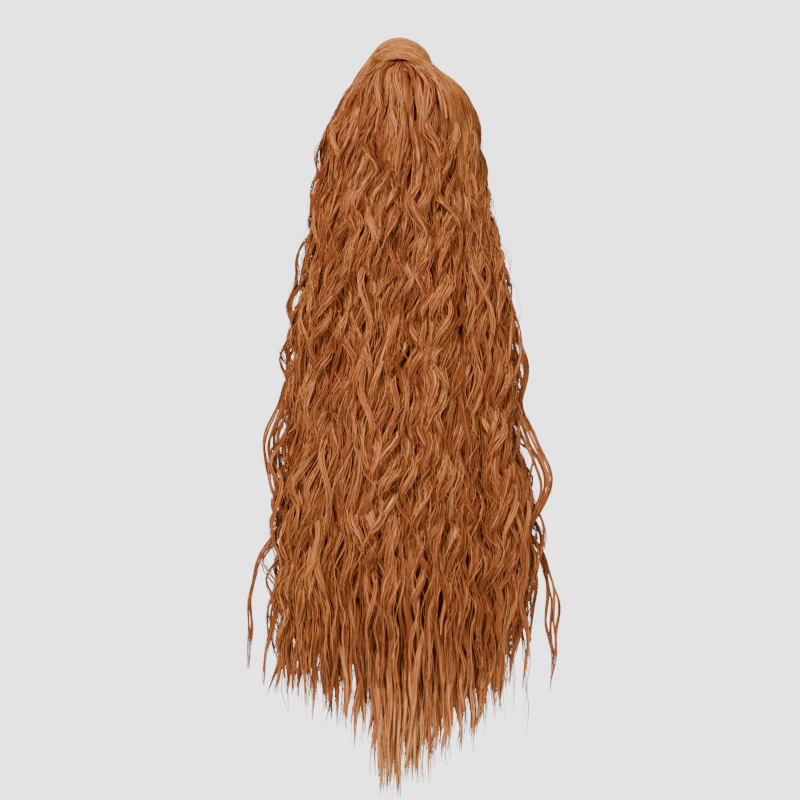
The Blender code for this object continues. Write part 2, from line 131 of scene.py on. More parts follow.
HEM_LOCKS = (
    HemLock(-0.740, -0.865, 0.862, -0.15),
    HemLock(-0.630, -0.700, 0.876, 0.35),
    HemLock(-0.500, -0.540, 0.898, -0.40),
    HemLock(-0.370, -0.375, 0.908, 0.45),
    HemLock(-0.230, -0.235, 0.936, -0.35),
    HemLock(-0.090, -0.125, 0.974, 0.45),
    HemLock(0.030, -0.080, 1.000, 0.00),
    HemLock(0.170, 0.110, 0.982, 0.45),
    HemLock(0.310, 0.270, 0.958, -0.40),
    HemLock(0.460, 0.415, 0.940, 0.45),
    HemLock(0.600, 0.545, 0.918, -0.40),
    HemLock(0.730, 0.690, 0.886, 0.35),
    HemLock(0.860, 0.805, 0.860, -0.15),
)


class LockRow(NamedTuple):
    """One row of a lock that stands clear of the fall, as shares of its named sizes."""

    drop: float
    across: float
    out: float
    full: float


RIGHT_LOOP = (
    LockRow(0.300, 0.66, 0.10, 0.60),
    LockRow(0.355, 0.83, 0.15, 0.64),
    LockRow(0.400, 0.93, 0.15, 0.60),
    LockRow(0.440, 0.92, 0.10, 0.55),
    LockRow(0.475, 0.88, 0.05, 0.60),
    LockRow(0.510, 0.95, 0.10, 0.60),
    LockRow(0.545, 1.06, 0.15, 0.55),
    LockRow(0.575, 1.08, 0.15, 0.51),
    LockRow(0.610, 1.03, 0.10, 0.55),
    LockRow(0.645, 0.92, 0.00, 0.60),
    LockRow(0.680, 0.83, -0.05, 0.55),
)
RIGHT_LOWER = (
    LockRow(0.600, 0.80, -0.10, 0.55),
    LockRow(0.650, 0.99, -0.10, 0.64),
    LockRow(0.690, 1.10, -0.05, 0.60),
    LockRow(0.730, 1.13, 0.00, 0.55),
    LockRow(0.775, 1.14, 0.00, 0.47),
    LockRow(0.820, 1.14, 0.00, 0.30),
    LockRow(0.855, 1.12, 0.00, 0.09),
)
LEFT_ZIGZAG = (
    LockRow(0.380, -0.66, 0.10, 0.60),
    LockRow(0.440, -0.82, 0.15, 0.64),
    LockRow(0.490, -0.92, 0.15, 0.64),
    LockRow(0.530, -0.96, 0.10, 0.60),
    LockRow(0.575, -0.92, 0.05, 0.60),
    LockRow(0.615, -0.85, 0.05, 0.60),
    LockRow(0.650, -0.95, 0.05, 0.60),
    LockRow(0.685, -1.07, 0.10, 0.55),
    LockRow(0.725, -1.11, 0.10, 0.51),
    LockRow(0.775, -1.12, 0.05, 0.34),
    LockRow(0.825, -1.13, 0.05, 0.09),
)
LEFT_LOWER = (
    LockRow(0.640, -0.70, -0.10, 0.60),
    LockRow(0.690, -0.83, -0.10, 0.68),
    LockRow(0.740, -0.93, -0.10, 0.60),
    LockRow(0.790, -0.99, -0.05, 0.43),
    LockRow(0.848, -1.02, 0.00, 0.09),
)


class FootRow(NamedTuple):
    """One row of the wound lock's foot: its angle round the band and shares of the lock's width."""

    turn: float
    out: float
    along: float
    full: float


WRAP_FOOT = (
    FootRow(-106.0, 0.96, 0.92, 0.35),
    FootRow(-98.0, 0.62, 0.62, 0.85),
    FootRow(-82.0, 0.25, 0.33, 1.00),
    FootRow(-60.0, 0.04, 0.12, 1.10),
    FootRow(-30.0, 0.00, 0.00, 1.40),
)


def smooth_table(rows: tuple, places: np.ndarray) -> np.ndarray:
    """Read a table between its rows along a smooth curve through them.

    Args:
        rows: Rows whose first column rises and serves as the place.
        places: Where to read the table.

    Returns:
        One row of values for each place.
    """
    values = np.asarray(rows, dtype=float)
    stations = values[:, 0]
    slopes = np.gradient(values, stations, axis=0)
    held = np.clip(places, stations[0], stations[-1])
    row = np.clip(np.searchsorted(stations, held) - 1, 0, len(stations) - 2)
    span = stations[row + 1] - stations[row]
    part = (held - stations[row]) / span
    start_share = 2 * part**3 - 3 * part**2 + 1
    start_slope = part**3 - 2 * part**2 + part
    end_share = -2 * part**3 + 3 * part**2
    end_slope = part**3 - part**2
    result = start_share[:, None] * values[row] + end_share[:, None] * values[row + 1]
    result += (span * start_slope)[:, None] * slopes[row]
    result += (span * end_slope)[:, None] * slopes[row + 1]
    return result


def ease(value: np.ndarray) -> np.ndarray:
    """Give a smooth step from 0 to 1 over the same range."""
    held = np.clip(value, 0.0, 1.0)
    return held * held * (3.0 - 2.0 * held)


def unit(vectors: np.ndarray) -> np.ndarray:
    """Give vectors a length of 1 along their last dimension."""
    return vectors / (np.linalg.norm(vectors, axis=-1, keepdims=True) + 1e-12)


def reach_along(path: np.ndarray) -> np.ndarray:
    """Give how far along a line each of its points lies."""
    return np.concatenate(((0.0,), np.cumsum(np.linalg.norm(np.diff(path, axis=0), axis=1))))


def read_points(mesh: bpy.types.Mesh) -> np.ndarray:
    """Read a mesh's points.

    Args:
        mesh: The mesh.

    Returns:
        One row of three coordinates for each point.
    """
    points = np.zeros(len(mesh.vertices) * 3)
    mesh.vertices.foreach_get("co", points)
    return points.reshape(-1, 3)


def deselect() -> None:
    """Leave edit mode and select nothing."""
    if bpy.context.object is not None and bpy.context.object.mode != "OBJECT":
        bpy.ops.object.mode_set(mode="OBJECT")
    bpy.ops.object.select_all(action="DESELECT")


def activate(item: bpy.types.Object) -> None:
    """Select one object alone and make it active.

    Args:
        item: The object.
    """
    deselect()
    item.select_set(True)
    bpy.context.view_layer.objects.active = item


def apply_modifier(item: bpy.types.Object, kind: str, name: str, **settings: object) -> None:
    """Add a modifier with its settings and apply it.

    Args:
        item: The object to change.
        kind: The modifier's type.
        name: The modifier's name.
        **settings: The values to set on it.
    """
    activate(item)
    modifier = item.modifiers.new(name, kind)
    for key, value in settings.items():
        setattr(modifier, key, value)
    bpy.ops.object.modifier_apply(modifier=modifier.name)


def hand_over(piece: bpy.types.Object, slot: Slot, material: bpy.types.Material, *nodes: str) -> None:
    """Dress a finished piece, tell the frame what it rides on and hide the CAD nodes that it stands for.

    Args:
        piece: The finished object.
        slot: Not used.
        material: Its material.
        *nodes: The CAD nodes that it stands for.
    """
    piece.data.materials.clear()
    piece.data.materials.append(material)
    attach(piece, BODY)
    if nodes:
        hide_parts(*nodes)
    LOG.info("%s: %d faces", piece.name, len(piece.data.polygons))


def merged_copy(node: str, name: str) -> bpy.types.Object:
    """Copy a solid, merge its doubled points and leave all of it selected in edit mode.

    Args:
        node: The CAD node to copy.
        name: The copy's name.

    Returns:
        The copy.
    """
    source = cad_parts[node]
    piece = source.copy()
    piece.data = source.data.copy()
    piece.name = name
    piece.data.name = name
    bpy.context.scene.collection.objects.link(piece)
    piece.parent = None
    piece.matrix_world.identity()
    activate(piece)
    bpy.ops.object.mode_set(mode="EDIT")
    bpy.ops.mesh.select_all(action="SELECT")
    bpy.ops.mesh.remove_doubles(threshold=MERGE)
    return piece


def mark_hair(mesh: bpy.types.Mesh, strand: np.ndarray, flow: np.ndarray) -> None:
    """Write the two attributes that the hair finishes read.

    Args:
        mesh: The mesh.
        strand: Tone and tip value at each point.
        flow: Metres across and along the hair at each point.
    """
    tones = np.zeros((len(strand), 4), dtype=np.float32)
    tones[:, :2] = strand
    tones[:, 3] = 1.0
    metres = np.zeros((len(flow), 3), dtype=np.float32)
    metres[:, :2] = flow
    for name, kind, key, values in (
        ("strand", "FLOAT_COLOR", "color", tones),
        ("flow", "FLOAT_VECTOR", "vector", metres),
    ):
        mesh.attributes.new(name, kind, "POINT").data.foreach_set(key, values.ravel())


def mark_mass(mesh: bpy.types.Mesh, across: np.ndarray, along: np.ndarray) -> None:
    """Give a body of hair an even tone and its metres across and along the hair."""
    strand = np.tile((EVEN_TONE, 0.0), (len(across), 1))
    mark_hair(mesh, strand, np.stack((across, along), axis=-1))


def swing(height: np.ndarray, phase: np.ndarray, depth_share: float) -> np.ndarray:
    """Swing a line to the sides and, by a share of that, in depth."""
    aside = height * np.cos(phase)
    return np.stack((aside, -depth_share * height * np.sin(phase), np.zeros_like(aside)), axis=-1)


@dataclass
class Nodes:
    """A short way to fill a material's node tree."""

    material: bpy.types.Material

    @classmethod
    def start(cls, name: str) -> "Nodes":
        """Make a material with its Principled shader.

        Args:
            name: The material's name.

        Returns:
            The helper that fills the new material.
        """
        material = bpy.data.materials.new(name)
        material.use_nodes = True
        return cls(material)

    @property
    def shader(self) -> bpy.types.Node:
        """Give the Principled shader."""
        return self.material.node_tree.nodes["Principled BSDF"]

    def add(self, kind: str, **settings: object) -> bpy.types.Node:
        """Add a node with its settings.

        Args:
            kind: The node's type.
            **settings: The values to set on it.

        Returns:
            The node.
        """
        node = self.material.node_tree.nodes.new(kind)
        for key, value in settings.items():
            setattr(node, key, value)
        return node

    def link(self, start: bpy.types.NodeSocket, end: bpy.types.NodeSocket) -> None:
        """Join two sockets."""
        self.material.node_tree.links.new(start, end)

    def math(self, operation: str, first: object, second: object) -> bpy.types.NodeSocket:
        """Add a Math node fed by sockets or numbers.

        Args:
            operation: The node's operation.
            first: A socket or a number.
            second: A socket or a number.

        Returns:
            The node's result.
        """
        node = self.add("ShaderNodeMath", operation=operation)
        for socket, value in zip(node.inputs, (first, second)):
            if isinstance(value, bpy.types.NodeSocket):
                self.link(value, socket)
            else:
                socket.default_value = value
        return node.outputs[0]

    def ramp(self, source: bpy.types.NodeSocket, stops: tuple) -> bpy.types.NodeSocket:
        """Add a colour ramp.

        Args:
            source: What drives the ramp.
            stops: Pairs of a place and a colour.

        Returns:
            The ramp's colour.
        """
        node = self.add("ShaderNodeValToRGB")
        elements = node.color_ramp.elements
        while len(elements) < len(stops):
            elements.new(0.5)
        for element, (place, colour) in zip(elements, stops):
            element.position = place
            element.color = (*colour, 1.0)
        self.link(source, node.inputs[0])
        return node.outputs[0]

    def strand(self) -> tuple[bpy.types.NodeSocket, bpy.types.NodeSocket]:
        """Read the hair's tone and tip value.

        Returns:
            The two sockets, the tone's first.
        """
        source = self.add("ShaderNodeAttribute", attribute_name="strand")
        parts = self.add("ShaderNodeSeparateColor")
        self.link(source.outputs["Color"], parts.inputs[0])
        return parts.outputs[0], parts.outputs[1]

    def noise(self, place: bpy.types.NodeSocket, scale: float, **settings: object) -> bpy.types.Node:
        """Add a noise texture that reads the given coordinates.

        Args:
            place: The coordinates.
            scale: The noise's scale.
            **settings: The values to set on it.

        Returns:
            The node.
        """
        node = self.add("ShaderNodeTexNoise", **settings)
        node.inputs["Scale"].default_value = scale
        self.link(place, node.inputs["Vector"])
        return node

    def colour(self, source: bpy.types.NodeSocket, stops: tuple) -> None:
        """Colour the shader by a ramp."""
        self.link(self.ramp(source, stops), self.shader.inputs["Base Color"])

    def bump(self, height: bpy.types.NodeSocket, distance: float, strength: float) -> None:
        """Raise the shader's surface by a height.

        Args:
            height: What drives it.
            distance: The rise of a height of 1, in metres.
            strength: How much of that is shown.
        """
        node = self.add("ShaderNodeBump")
        node.inputs["Distance"].default_value = distance
        node.inputs["Strength"].default_value = strength
        self.link(height, node.inputs["Height"])
        self.link(node.outputs[0], self.shader.inputs["Normal"])

    def warm_gloss(self, roughness: float) -> None:
        """Give the shader the warm, soft gloss of synthetic hair.

        Args:
            roughness: The gloss's roughness.
        """
        self.shader.inputs["Roughness"].default_value = roughness
        self.shader.inputs["Specular IOR Level"].default_value = 0.5
        self.shader.inputs["Specular Tint"].default_value = (1.0, 0.58, 0.27, 1.0)


@dataclass(frozen=True)
class HairFinish:
    """Copper hair whose tone follows each hair's own value and lightens to its tips, partly as the
    hair's own paler ends and partly as painted light shining through the thin tips.
    """

    name: str
    dark: tuple[float, float, float]
    middle: tuple[float, float, float]
    light: tuple[float, float, float]
    pale: tuple[float, float, float]
    tip_lift: float = 0.42
    roughness: float = 0.31

    def make(self) -> bpy.types.Material:
        """Build the material from the hairs' strand attribute.

        Returns:
            The material.
        """
        nodes = Nodes.start(self.name)
        own, tip = nodes.strand()
        # The tip lift is partly the ends' own paler colour and partly painted light shining through the
        # thin tips.
        tone = nodes.math("ADD", own, nodes.math("MULTIPLY", tip, self.tip_lift))
        nodes.colour(tone, ((0.0, self.dark), (0.5, self.middle), (0.88, self.light), (1.0, self.pale)))
        nodes.warm_gloss(self.roughness)
        return nodes.material


@dataclass(frozen=True)
class StreakFinish:
    """Hair seen as a mass, with fine streaks that run down each lock."""

    name: str
    dark: tuple[float, float, float]
    middle: tuple[float, float, float]
    light: tuple[float, float, float]
    pale: tuple[float, float, float]
    across: float = 460.0
    along: float = 16.0
    own_tone: float = 0.10
    tip_lift: float = 0.15
    roughness: float = 0.36
    bump: float = 0.0009

    def make(self) -> bpy.types.Material:
        """Build the material from the piece's flow attribute, which is in metres.

        Returns:
            The material.
        """
        nodes = Nodes.start(self.name)
        flow = nodes.add("ShaderNodeAttribute", attribute_name="flow")
        mapping = nodes.add("ShaderNodeMapping")
        mapping.inputs["Scale"].default_value = (self.across, self.along, 1.0)
        nodes.link(flow.outputs["Vector"], mapping.inputs["Vector"])
        noise = nodes.noise(mapping.outputs[0], 1.0, noise_dimensions="2D")
        noise.inputs["Detail"].default_value = 4.0
        noise.inputs["Roughness"].default_value = 0.65
        own, tip = nodes.strand()
        own = nodes.math("MULTIPLY", own, self.own_tone)
        # The tip lift is partly the ends' own paler colour and partly painted light shining through the
        # thin tips.
        lift = nodes.math("MULTIPLY", tip, self.tip_lift)
        tone = nodes.math("ADD", noise.outputs[0], nodes.math("ADD", own, lift))
        shift = EVEN_TONE * self.own_tone
        places = (0.41 + shift, 0.50 + shift, 0.60 + shift, 0.75 + shift)
        nodes.colour(tone, tuple(zip(places, (self.dark, self.middle, self.light, self.pale))))
        nodes.bump(noise.outputs[0], self.bump, 0.8)
        nodes.warm_gloss(self.roughness)
        return nodes.material


@dataclass(frozen=True)
class KnitFinish:
    """A sewn elastic band: fine ribs round it over a soft weave."""

    name: str = "band_knit"
    colour: tuple[float, float, float] = (0.120, 0.045, 0.020)
    roughness: float = 0.85

    def make(self) -> bpy.types.Material:
        """Build the material on Object coordinates.

        Returns:
            The material.
        """
        nodes = Nodes.start(self.name)
        place = nodes.add("ShaderNodeTexCoord")
        turn = nodes.add("ShaderNodeMapping")
        turn.inputs["Rotation"].default_value = (Base.tilt, 0.0, 0.0)
        nodes.link(place.outputs["Object"], turn.inputs["Vector"])
        ribs = nodes.add("ShaderNodeTexWave", wave_type="BANDS", bands_direction="Y")
        ribs.inputs["Scale"].default_value = 380.0
        ribs.inputs["Distortion"].default_value = 0.6
        nodes.link(turn.outputs[0], ribs.inputs["Vector"])
        weave = nodes.noise(turn.outputs[0], 900.0)
        height = nodes.math("ADD", ribs.outputs["Fac"], nodes.math("MULTIPLY", weave.outputs[0], 0.6))
        # The colour follows the ribs' and the weave's height: painted shade in the grooves and painted
        # light on the crests.
        pale = tuple(1.7 * part for part in self.colour)
        deep = tuple(0.55 * part for part in self.colour)
        nodes.colour(height, ((0.1, deep), (0.8, self.colour), (1.0, pale)))
        nodes.bump(height, 0.0004, 1.0)
        nodes.shader.inputs["Roughness"].default_value = self.roughness
        return nodes.material


@dataclass(frozen=True)
class CombFinish:
    """Dark moulded plastic with faint flow lines and handling wear."""

    name: str = "comb_moulded"
    colour: tuple[float, float, float] = (0.030, 0.016, 0.010)

    def make(self) -> bpy.types.Material:
        """Build the material on Object coordinates.

        Returns:
            The material.
        """
        nodes = Nodes.start(self.name)
        place = nodes.add("ShaderNodeTexCoord")
        noise = nodes.noise(place.outputs["Object"], 260.0)
        pale = tuple(2.2 * part for part in self.colour)
        nodes.colour(noise.outputs[0], ((0.35, self.colour), (0.75, pale)))
        rough = nodes.math("ADD", 0.22, nodes.math("MULTIPLY", noise.outputs[0], 0.2))
        nodes.link(rough, nodes.shader.inputs["Roughness"])
        return nodes.material


TAIL_HAIRS = HairFinish(
    name="tail_hairs",
    dark=(0.195, 0.040, 0.011),
    middle=(0.252, 0.063, 0.020),
    light=(0.600, 0.212, 0.064),
    pale=(0.780, 0.380, 0.140),
)
TAIL_MASS = StreakFinish(
    name="tail_mass",
    dark=(0.175, 0.036, 0.010),
    middle=(0.240, 0.060, 0.019),
    light=(0.520, 0.176, 0.056),
    pale=(0.700, 0.330, 0.125),
)
TAIL_SHADE = StreakFinish(
    name="tail_shade",
    dark=(0.180, 0.040, 0.011),
    middle=(0.290, 0.078, 0.024),
    light=(0.460, 0.150, 0.046),
    pale=(0.540, 0.190, 0.062),
)
WRAP_HAIRS = HairFinish(
    name="wrap_hairs",
    dark=(0.230, 0.060, 0.012),
    middle=(0.430, 0.145, 0.036),
    light=(0.640, 0.265, 0.084),
    pale=(0.760, 0.360, 0.130),
    roughness=0.32,
)
WRAP_MASS = StreakFinish(
    name="wrap_mass",
    dark=(0.110, 0.027, 0.006),
    middle=(0.290, 0.083, 0.022),
    light=(0.480, 0.175, 0.054),
    pale=(0.700, 0.320, 0.115),
    own_tone=0.30,
)


@dataclass
class Base:
    """The band's place and sizes, which the wound lock, the comb and the tail's root share."""

    bore_radius: float = 0.016
    band_wall: float = 0.002
    band_length: float = 0.022
    stand: float = 0.038
    drop: float = 0.0045
    tilt: float = math.radians(35.0)
    gap: float = 0.0003
    wrap_width: float = 0.024
    wrap_thickness: float = 0.007

    @property
    def centre(self) -> np.ndarray:
        """Give the band's middle."""
        return np.array((0.0, -self.stand, -self.drop))

    @property
    def axis(self) -> np.ndarray:
        """Give the band's axis, which points away from the head and down."""
        return np.array((0.0, -math.cos(self.tilt), -math.sin(self.tilt)))

    @property
    def up(self) -> np.ndarray:
        """Give the direction to the band's top."""
        return np.array((0.0, -math.sin(self.tilt), math.cos(self.tilt)))

    @property
    def wrap_radius(self) -> float:
        """Give the middle radius of the wound lock."""
        return self.bore_radius + self.band_wall + self.gap + self.wrap_thickness / 2.0

    def point(self, turn: np.ndarray, radius: np.ndarray, along: np.ndarray) -> np.ndarray:
        """Give points by angle from the top, radius and place on the axis.

        Args:
            turn: Angles round the band, clockwise as seen from behind the wearer.
            radius: Distances from the axis.
            along: Distances down the axis from the band's middle.

        Returns:
            Points with their coordinates in the last dimension.
        """
        turn = np.asarray(turn)[..., None]
        outward = np.cos(turn) * self.up + np.sin(turn) * np.array((1.0, 0.0, 0.0))
        offset = np.asarray(along)[..., None] * self.axis + np.asarray(radius)[..., None] * outward
        return self.centre + offset


@dataclass
class Fall:
    """The shape of the falling hair, from the band's mouth to the hem."""

    base: Base
    drop: float = 0.603
    half_width: float = 0.110
    half_depth: float = 0.032
    stand: float = 0.057
    side_swing: float = 0.048
    wave_length: float = 0.058
    wave_height: float = 0.0034
    relief: float = 0.0036
    lock_half_width: float = 0.0135
    straight_from: float = 0.745

    def section(self, drops: np.ndarray) -> dict[str, np.ndarray]:
        """Read the fall's sections at the given shares of its drop."""
        values = smooth_table(FALL_ROWS, drops)
        return {name: values[:, column] for column, name in enumerate(FallRow._fields)}

    def place(self, angle: np.ndarray, drops: np.ndarray, held: bool) -> tuple[np.ndarray, ...]:
        """Place a line of points on the fall.

        Args:
            angle: Angles round the section, from the wearer's right over the face of the fall.
            drops: Shares of the fall's drop.
            held: Whether the width stays as it is from where the hem's locks fall straight.

        Returns:
            The points, the directions out of the surface and out of the face, and the waves' fullness.
        """
        row = self.section(drops)
        wide = self.section(np.minimum(drops, self.straight_from)) if held else row
        slope = (math.pi / 2.0 - self.base.tilt) * row["lean"]
        forward = np.stack((np.zeros_like(slope), -np.cos(slope), np.sin(slope)), axis=-1)
        across_share = np.cos(angle)
        depth_share = np.sin(angle)
        half_width = self.half_width * np.where(across_share > 0.0, wide["right"], wide["left"])
        half_depth = self.half_depth * np.where(depth_share > 0.0, row["front"], row["back"])
        across = half_width * np.sign(across_share) * np.abs(across_share) ** 0.9
        depth = half_depth * np.sign(depth_share) * np.abs(depth_share) ** 0.85
        points = depth[:, None] * forward
        points[:, 0] += across
        points[:, 1] += self.side_swing * row["cradle"] * (across / self.half_width) ** 2
        points[:, 1] -= self.stand * row["stand"]
        points[:, 2] -= self.drop * drops
        outward = (depth_share / half_depth)[:, None] * forward
        outward[:, 0] += across_share / half_width
        outward = unit(outward)
        points += (self.relief * row["wave"] * self.clump(angle, drops))[:, None] * outward
        return points, outward, forward, row["wave"]

    def clump(self, angle: np.ndarray, drops: np.ndarray) -> np.ndarray:
        """Give how far the hair swells or sinks in clumps, from -1 to 1. The locks' tone follows it too,
        as painted light where the hair swells and painted shade where it sinks.

        Args:
            angle: Angles round the section.
            drops: Shares of the fall's drop.

        Returns:
            The swelling at each place.
        """
        across = np.sin(10.0 * angle + 2.6 * np.sin(11.0 * drops + 0.6 * angle))
        along = np.sin(41.0 * drops + 3.6 * angle + 1.4 * np.sin(5.0 * angle))
        return 0.62 * across * along + 0.38 * np.sin(17.0 * angle - 23.0 * drops + 1.7)

    def wave_phase(self, angle: np.ndarray, drops: np.ndarray) -> np.ndarray:
        """Give where the waves stand, so that locks side by side run together.

        Args:
            angle: Angles round the section.
            drops: Shares of the fall's drop.

        Returns:
            The waves' angle, whose waves grow shorter down the fall.
        """
        reach = self.drop * drops
        drift = 2.4 * np.sin(3.1 * angle + 0.4 + 4.0 * drops)
        drift = drift + 1.8 * np.sin(7.3 * angle + 2.0 - 7.0 * drops)
        return 2.0 * math.pi * (reach / self.wave_length + 1.6 * reach**2) + drift

    def even_angle(self, share: float, low: float, high: float) -> float:
        """Turn a share of the way round part of a section into an angle.

        Args:
            share: The share of the arc's length, from 0 to 1.
            low: The angle where the arc starts.
            high: The angle where it ends.

        Returns:
            The angle at that share.
        """
        angles = np.linspace(low, high, 241)
        steps = np.hypot(0.85 * self.half_width * np.sin(angles), self.half_depth * np.cos(angles))
        reach = np.concatenate(((0.0,), np.cumsum((steps[1:] + steps[:-1]) / 2.0)))
        return float(np.interp(share * reach[-1], reach, angles))

    def hem_end(self, across: float) -> float:
        """Give the share of the drop where the stepped hem ends at a distance from the middle.

        Args:
            across: The distance to the right of the middle, in metres.

        Returns:
            The share of the drop.
        """
        tips = [row.tip for row in HEM_LOCKS]
        ends = [row.end for row in HEM_LOCKS]
        return float(np.interp(across / self.half_width, tips, ends))


@dataclass
class Guide:
    """The middle line of one lock, with its facing and its size at each place."""

    path: np.ndarray
    sway: np.ndarray
    outward: np.ndarray
    half_width: np.ndarray
    half_thickness: np.ndarray
    along: np.ndarray
    twist: np.ndarray
    tone: np.ndarray

    def axes(self) -> tuple[np.ndarray, np.ndarray]:
        """Give the directions across the lock and out of its face.

        Returns:
            The two directions at each place, turned by the lock's twist.
        """
        run = unit(np.gradient(self.path, axis=0))
        out = unit(self.outward - run * np.sum(run * self.outward, axis=1, keepdims=True))
        side = np.cross(out, run)
        turn = self.twist[:, None]
        return np.cos(turn) * side + np.sin(turn) * out, np.cos(turn) * out - np.sin(turn) * side


@dataclass
class TubeMesh:
    """Many closed tubes kept as arrays, which become one mesh."""

    name: str
    sides: int
    map_rows: int
    corners: list[np.ndarray] = field(default_factory=list)
    strands: list[np.ndarray] = field(default_factory=list)
    flows: list[np.ndarray] = field(default_factory=list)
    spans: list[np.ndarray] = field(default_factory=list)

    def add(self, corners: np.ndarray, strand: np.ndarray, flow: np.ndarray, span: np.ndarray) -> None:
        """Take tubes that have the same number of rings.

        Args:
            corners: Ring corners, by tube, ring and side.
            strand: Tone and tip value at each corner.
            flow: Metres across and along the lock at each corner.
            span: Where each face's two sides lie across the tube's column of the map.
        """
        self.corners.append(corners)
        self.strands.append(strand)
        self.flows.append(flow)
        self.spans.append(span)

    @property
    def tubes(self) -> int:
        """Count the tubes."""
        return sum(part.shape[0] for part in self.corners)

    @property
    def triangles(self) -> int:
        """Count the triangles that the mesh will have.

        Returns:
            Their number.
        """
        ends = 2 * (self.sides - 2)
        each = [(part.shape[1] - 1) * 2 * self.sides + ends for part in self.corners]
        return sum(part.shape[0] * count for part, count in zip(self.corners, each))

    def cells(self, first: int, count: int) -> tuple[np.ndarray, np.ndarray, float, float]:
        """Give the map cells of a run of tubes.

        Args:
            first: The first tube's number.
            count: How many tubes.

        Returns:
            The cells' left and lower edges, and their width and height.
        """
        columns = math.ceil(self.tubes / self.map_rows)
        number = first + np.arange(count)
        width = 1.0 / columns
        height = 1.0 / self.map_rows
        left = (number % columns + 0.12) * width
        low = (number // columns + 0.02) * height
        return left, low, 0.76 * width, 0.96 * height

    def build(self) -> bpy.types.Object:
        """Make the mesh, with its attributes and a map that gives each tube a cell.

        Returns:
            The new object.
        """
        quads, caps, quad_maps, cap_maps = [], [], [], []
        start = 0
        tube = 0
        for corners, span in zip(self.corners, self.spans):
            count, steps, sides = corners.shape[:3]
            index = start + np.arange(count * steps * sides).reshape(count, steps, sides)
            after = np.roll(index, -1, axis=2)
            sheet = np.stack((index[:, :-1], after[:, :-1], after[:, 1:], index[:, 1:]), axis=-1)
            quads.append(sheet.reshape(-1, 4))
            left, low, width, height = self.cells(tube, count)
            rise = np.linspace(0.02, 0.98, steps)
            near, far = (left[:, None, None] + width * span[None, None, :, end] for end in (0, 1))
            levels = low[:, None, None] + height * rise[None, :, None]
            here, there = levels[:, :-1], levels[:, 1:]
            ways = (near, here, far, here, far, there, near, there)
            full = [np.broadcast_to(way, (count, steps - 1, sides)) for way in ways]
            quad_maps.append(np.stack(full, axis=-1).reshape(-1, 2))
            caps.append(index[:, 0, ::-1].reshape(-1, sides))
            caps.append(index[:, -1].reshape(-1, sides))
            wheel = 2.0 * math.pi * np.arange(sides) / sides
            for level in (0.01, 0.99):
                across = left[:, None] + width * (0.5 + 0.4 * np.cos(wheel))[None, :]
                up = low[:, None] + height * (level + 0.008 * np.sin(wheel))[None, :]
                cap_maps.append(np.stack((across, up), axis=-1).reshape(-1, 2))
            start += count * steps * sides
            tube += count
        corner_map = np.concatenate(quad_maps + cap_maps)
        return self.assemble(np.concatenate(quads), np.concatenate(caps), corner_map)

    def assemble(
        self, quads: np.ndarray, caps: np.ndarray, corner_map: np.ndarray
    ) -> bpy.types.Object:
        """Fill a mesh from arrays.

        Args:
            quads: Corners of the side faces.
            caps: Corners of the end faces.
            corner_map: Map coordinates of every face corner, side faces first.

        Returns:
            The new object.
        """
        mesh = bpy.data.meshes.new(self.name)
        points = np.concatenate([part.reshape(-1, 3) for part in self.corners])
        loops = np.concatenate((quads.ravel(), caps.ravel())).astype(np.int32)
        cap_starts = quads.size + np.arange(len(caps)) * self.sides
        starts = np.concatenate((np.arange(len(quads)) * 4, cap_starts))
        mesh.vertices.add(len(points))
        mesh.vertices.foreach_set("co", points.astype(np.float32).ravel())
        mesh.loops.add(len(loops))
        mesh.loops.foreach_set("vertex_index", loops)
        mesh.polygons.add(len(starts))
        mesh.polygons.foreach_set("loop_start", starts.astype(np.int32))
        mesh.polygons.foreach_set("use_smooth", np.ones(len(starts), dtype=bool))
        mesh.update(calc_edges=True)
        strand = np.concatenate([part.reshape(-1, 2) for part in self.strands])
        mark_hair(mesh, strand, np.concatenate([part.reshape(-1, 2) for part in self.flows]))
        layer = mesh.uv_layers.new(name="OFBake")
        layer.data.foreach_set("uv", corner_map.astype(np.float32).ravel())
        mesh.validate()
        item = bpy.data.objects.new(self.name, mesh)
        bpy.context.scene.collection.objects.link(item)
        return item


def sample(values: np.ndarray, places: np.ndarray) -> np.ndarray:
    """Read an array between its rows along a smooth curve through them.

    Args:
        values: Rows of values.
        places: Row numbers with fractions, of any shape.

    Returns:
        The values at those places.
    """
    last = len(values) - 1
    low = np.clip(places.astype(int), 0, last - 1)
    part = places - low
    if values.ndim > 1:
        part = part[..., None]
    before = values[np.maximum(low - 1, 0)]
    here = values[low]
    there = values[low + 1]
    after = values[np.minimum(low + 2, last)]
    slope = 0.5 * (there - before)
    bend = before - 2.5 * here + 2.0 * there - 0.5 * after
    turn = 0.5 * (after - before) + 1.5 * (here - there)
    return here + part * (slope + part * (bend + part * turn))


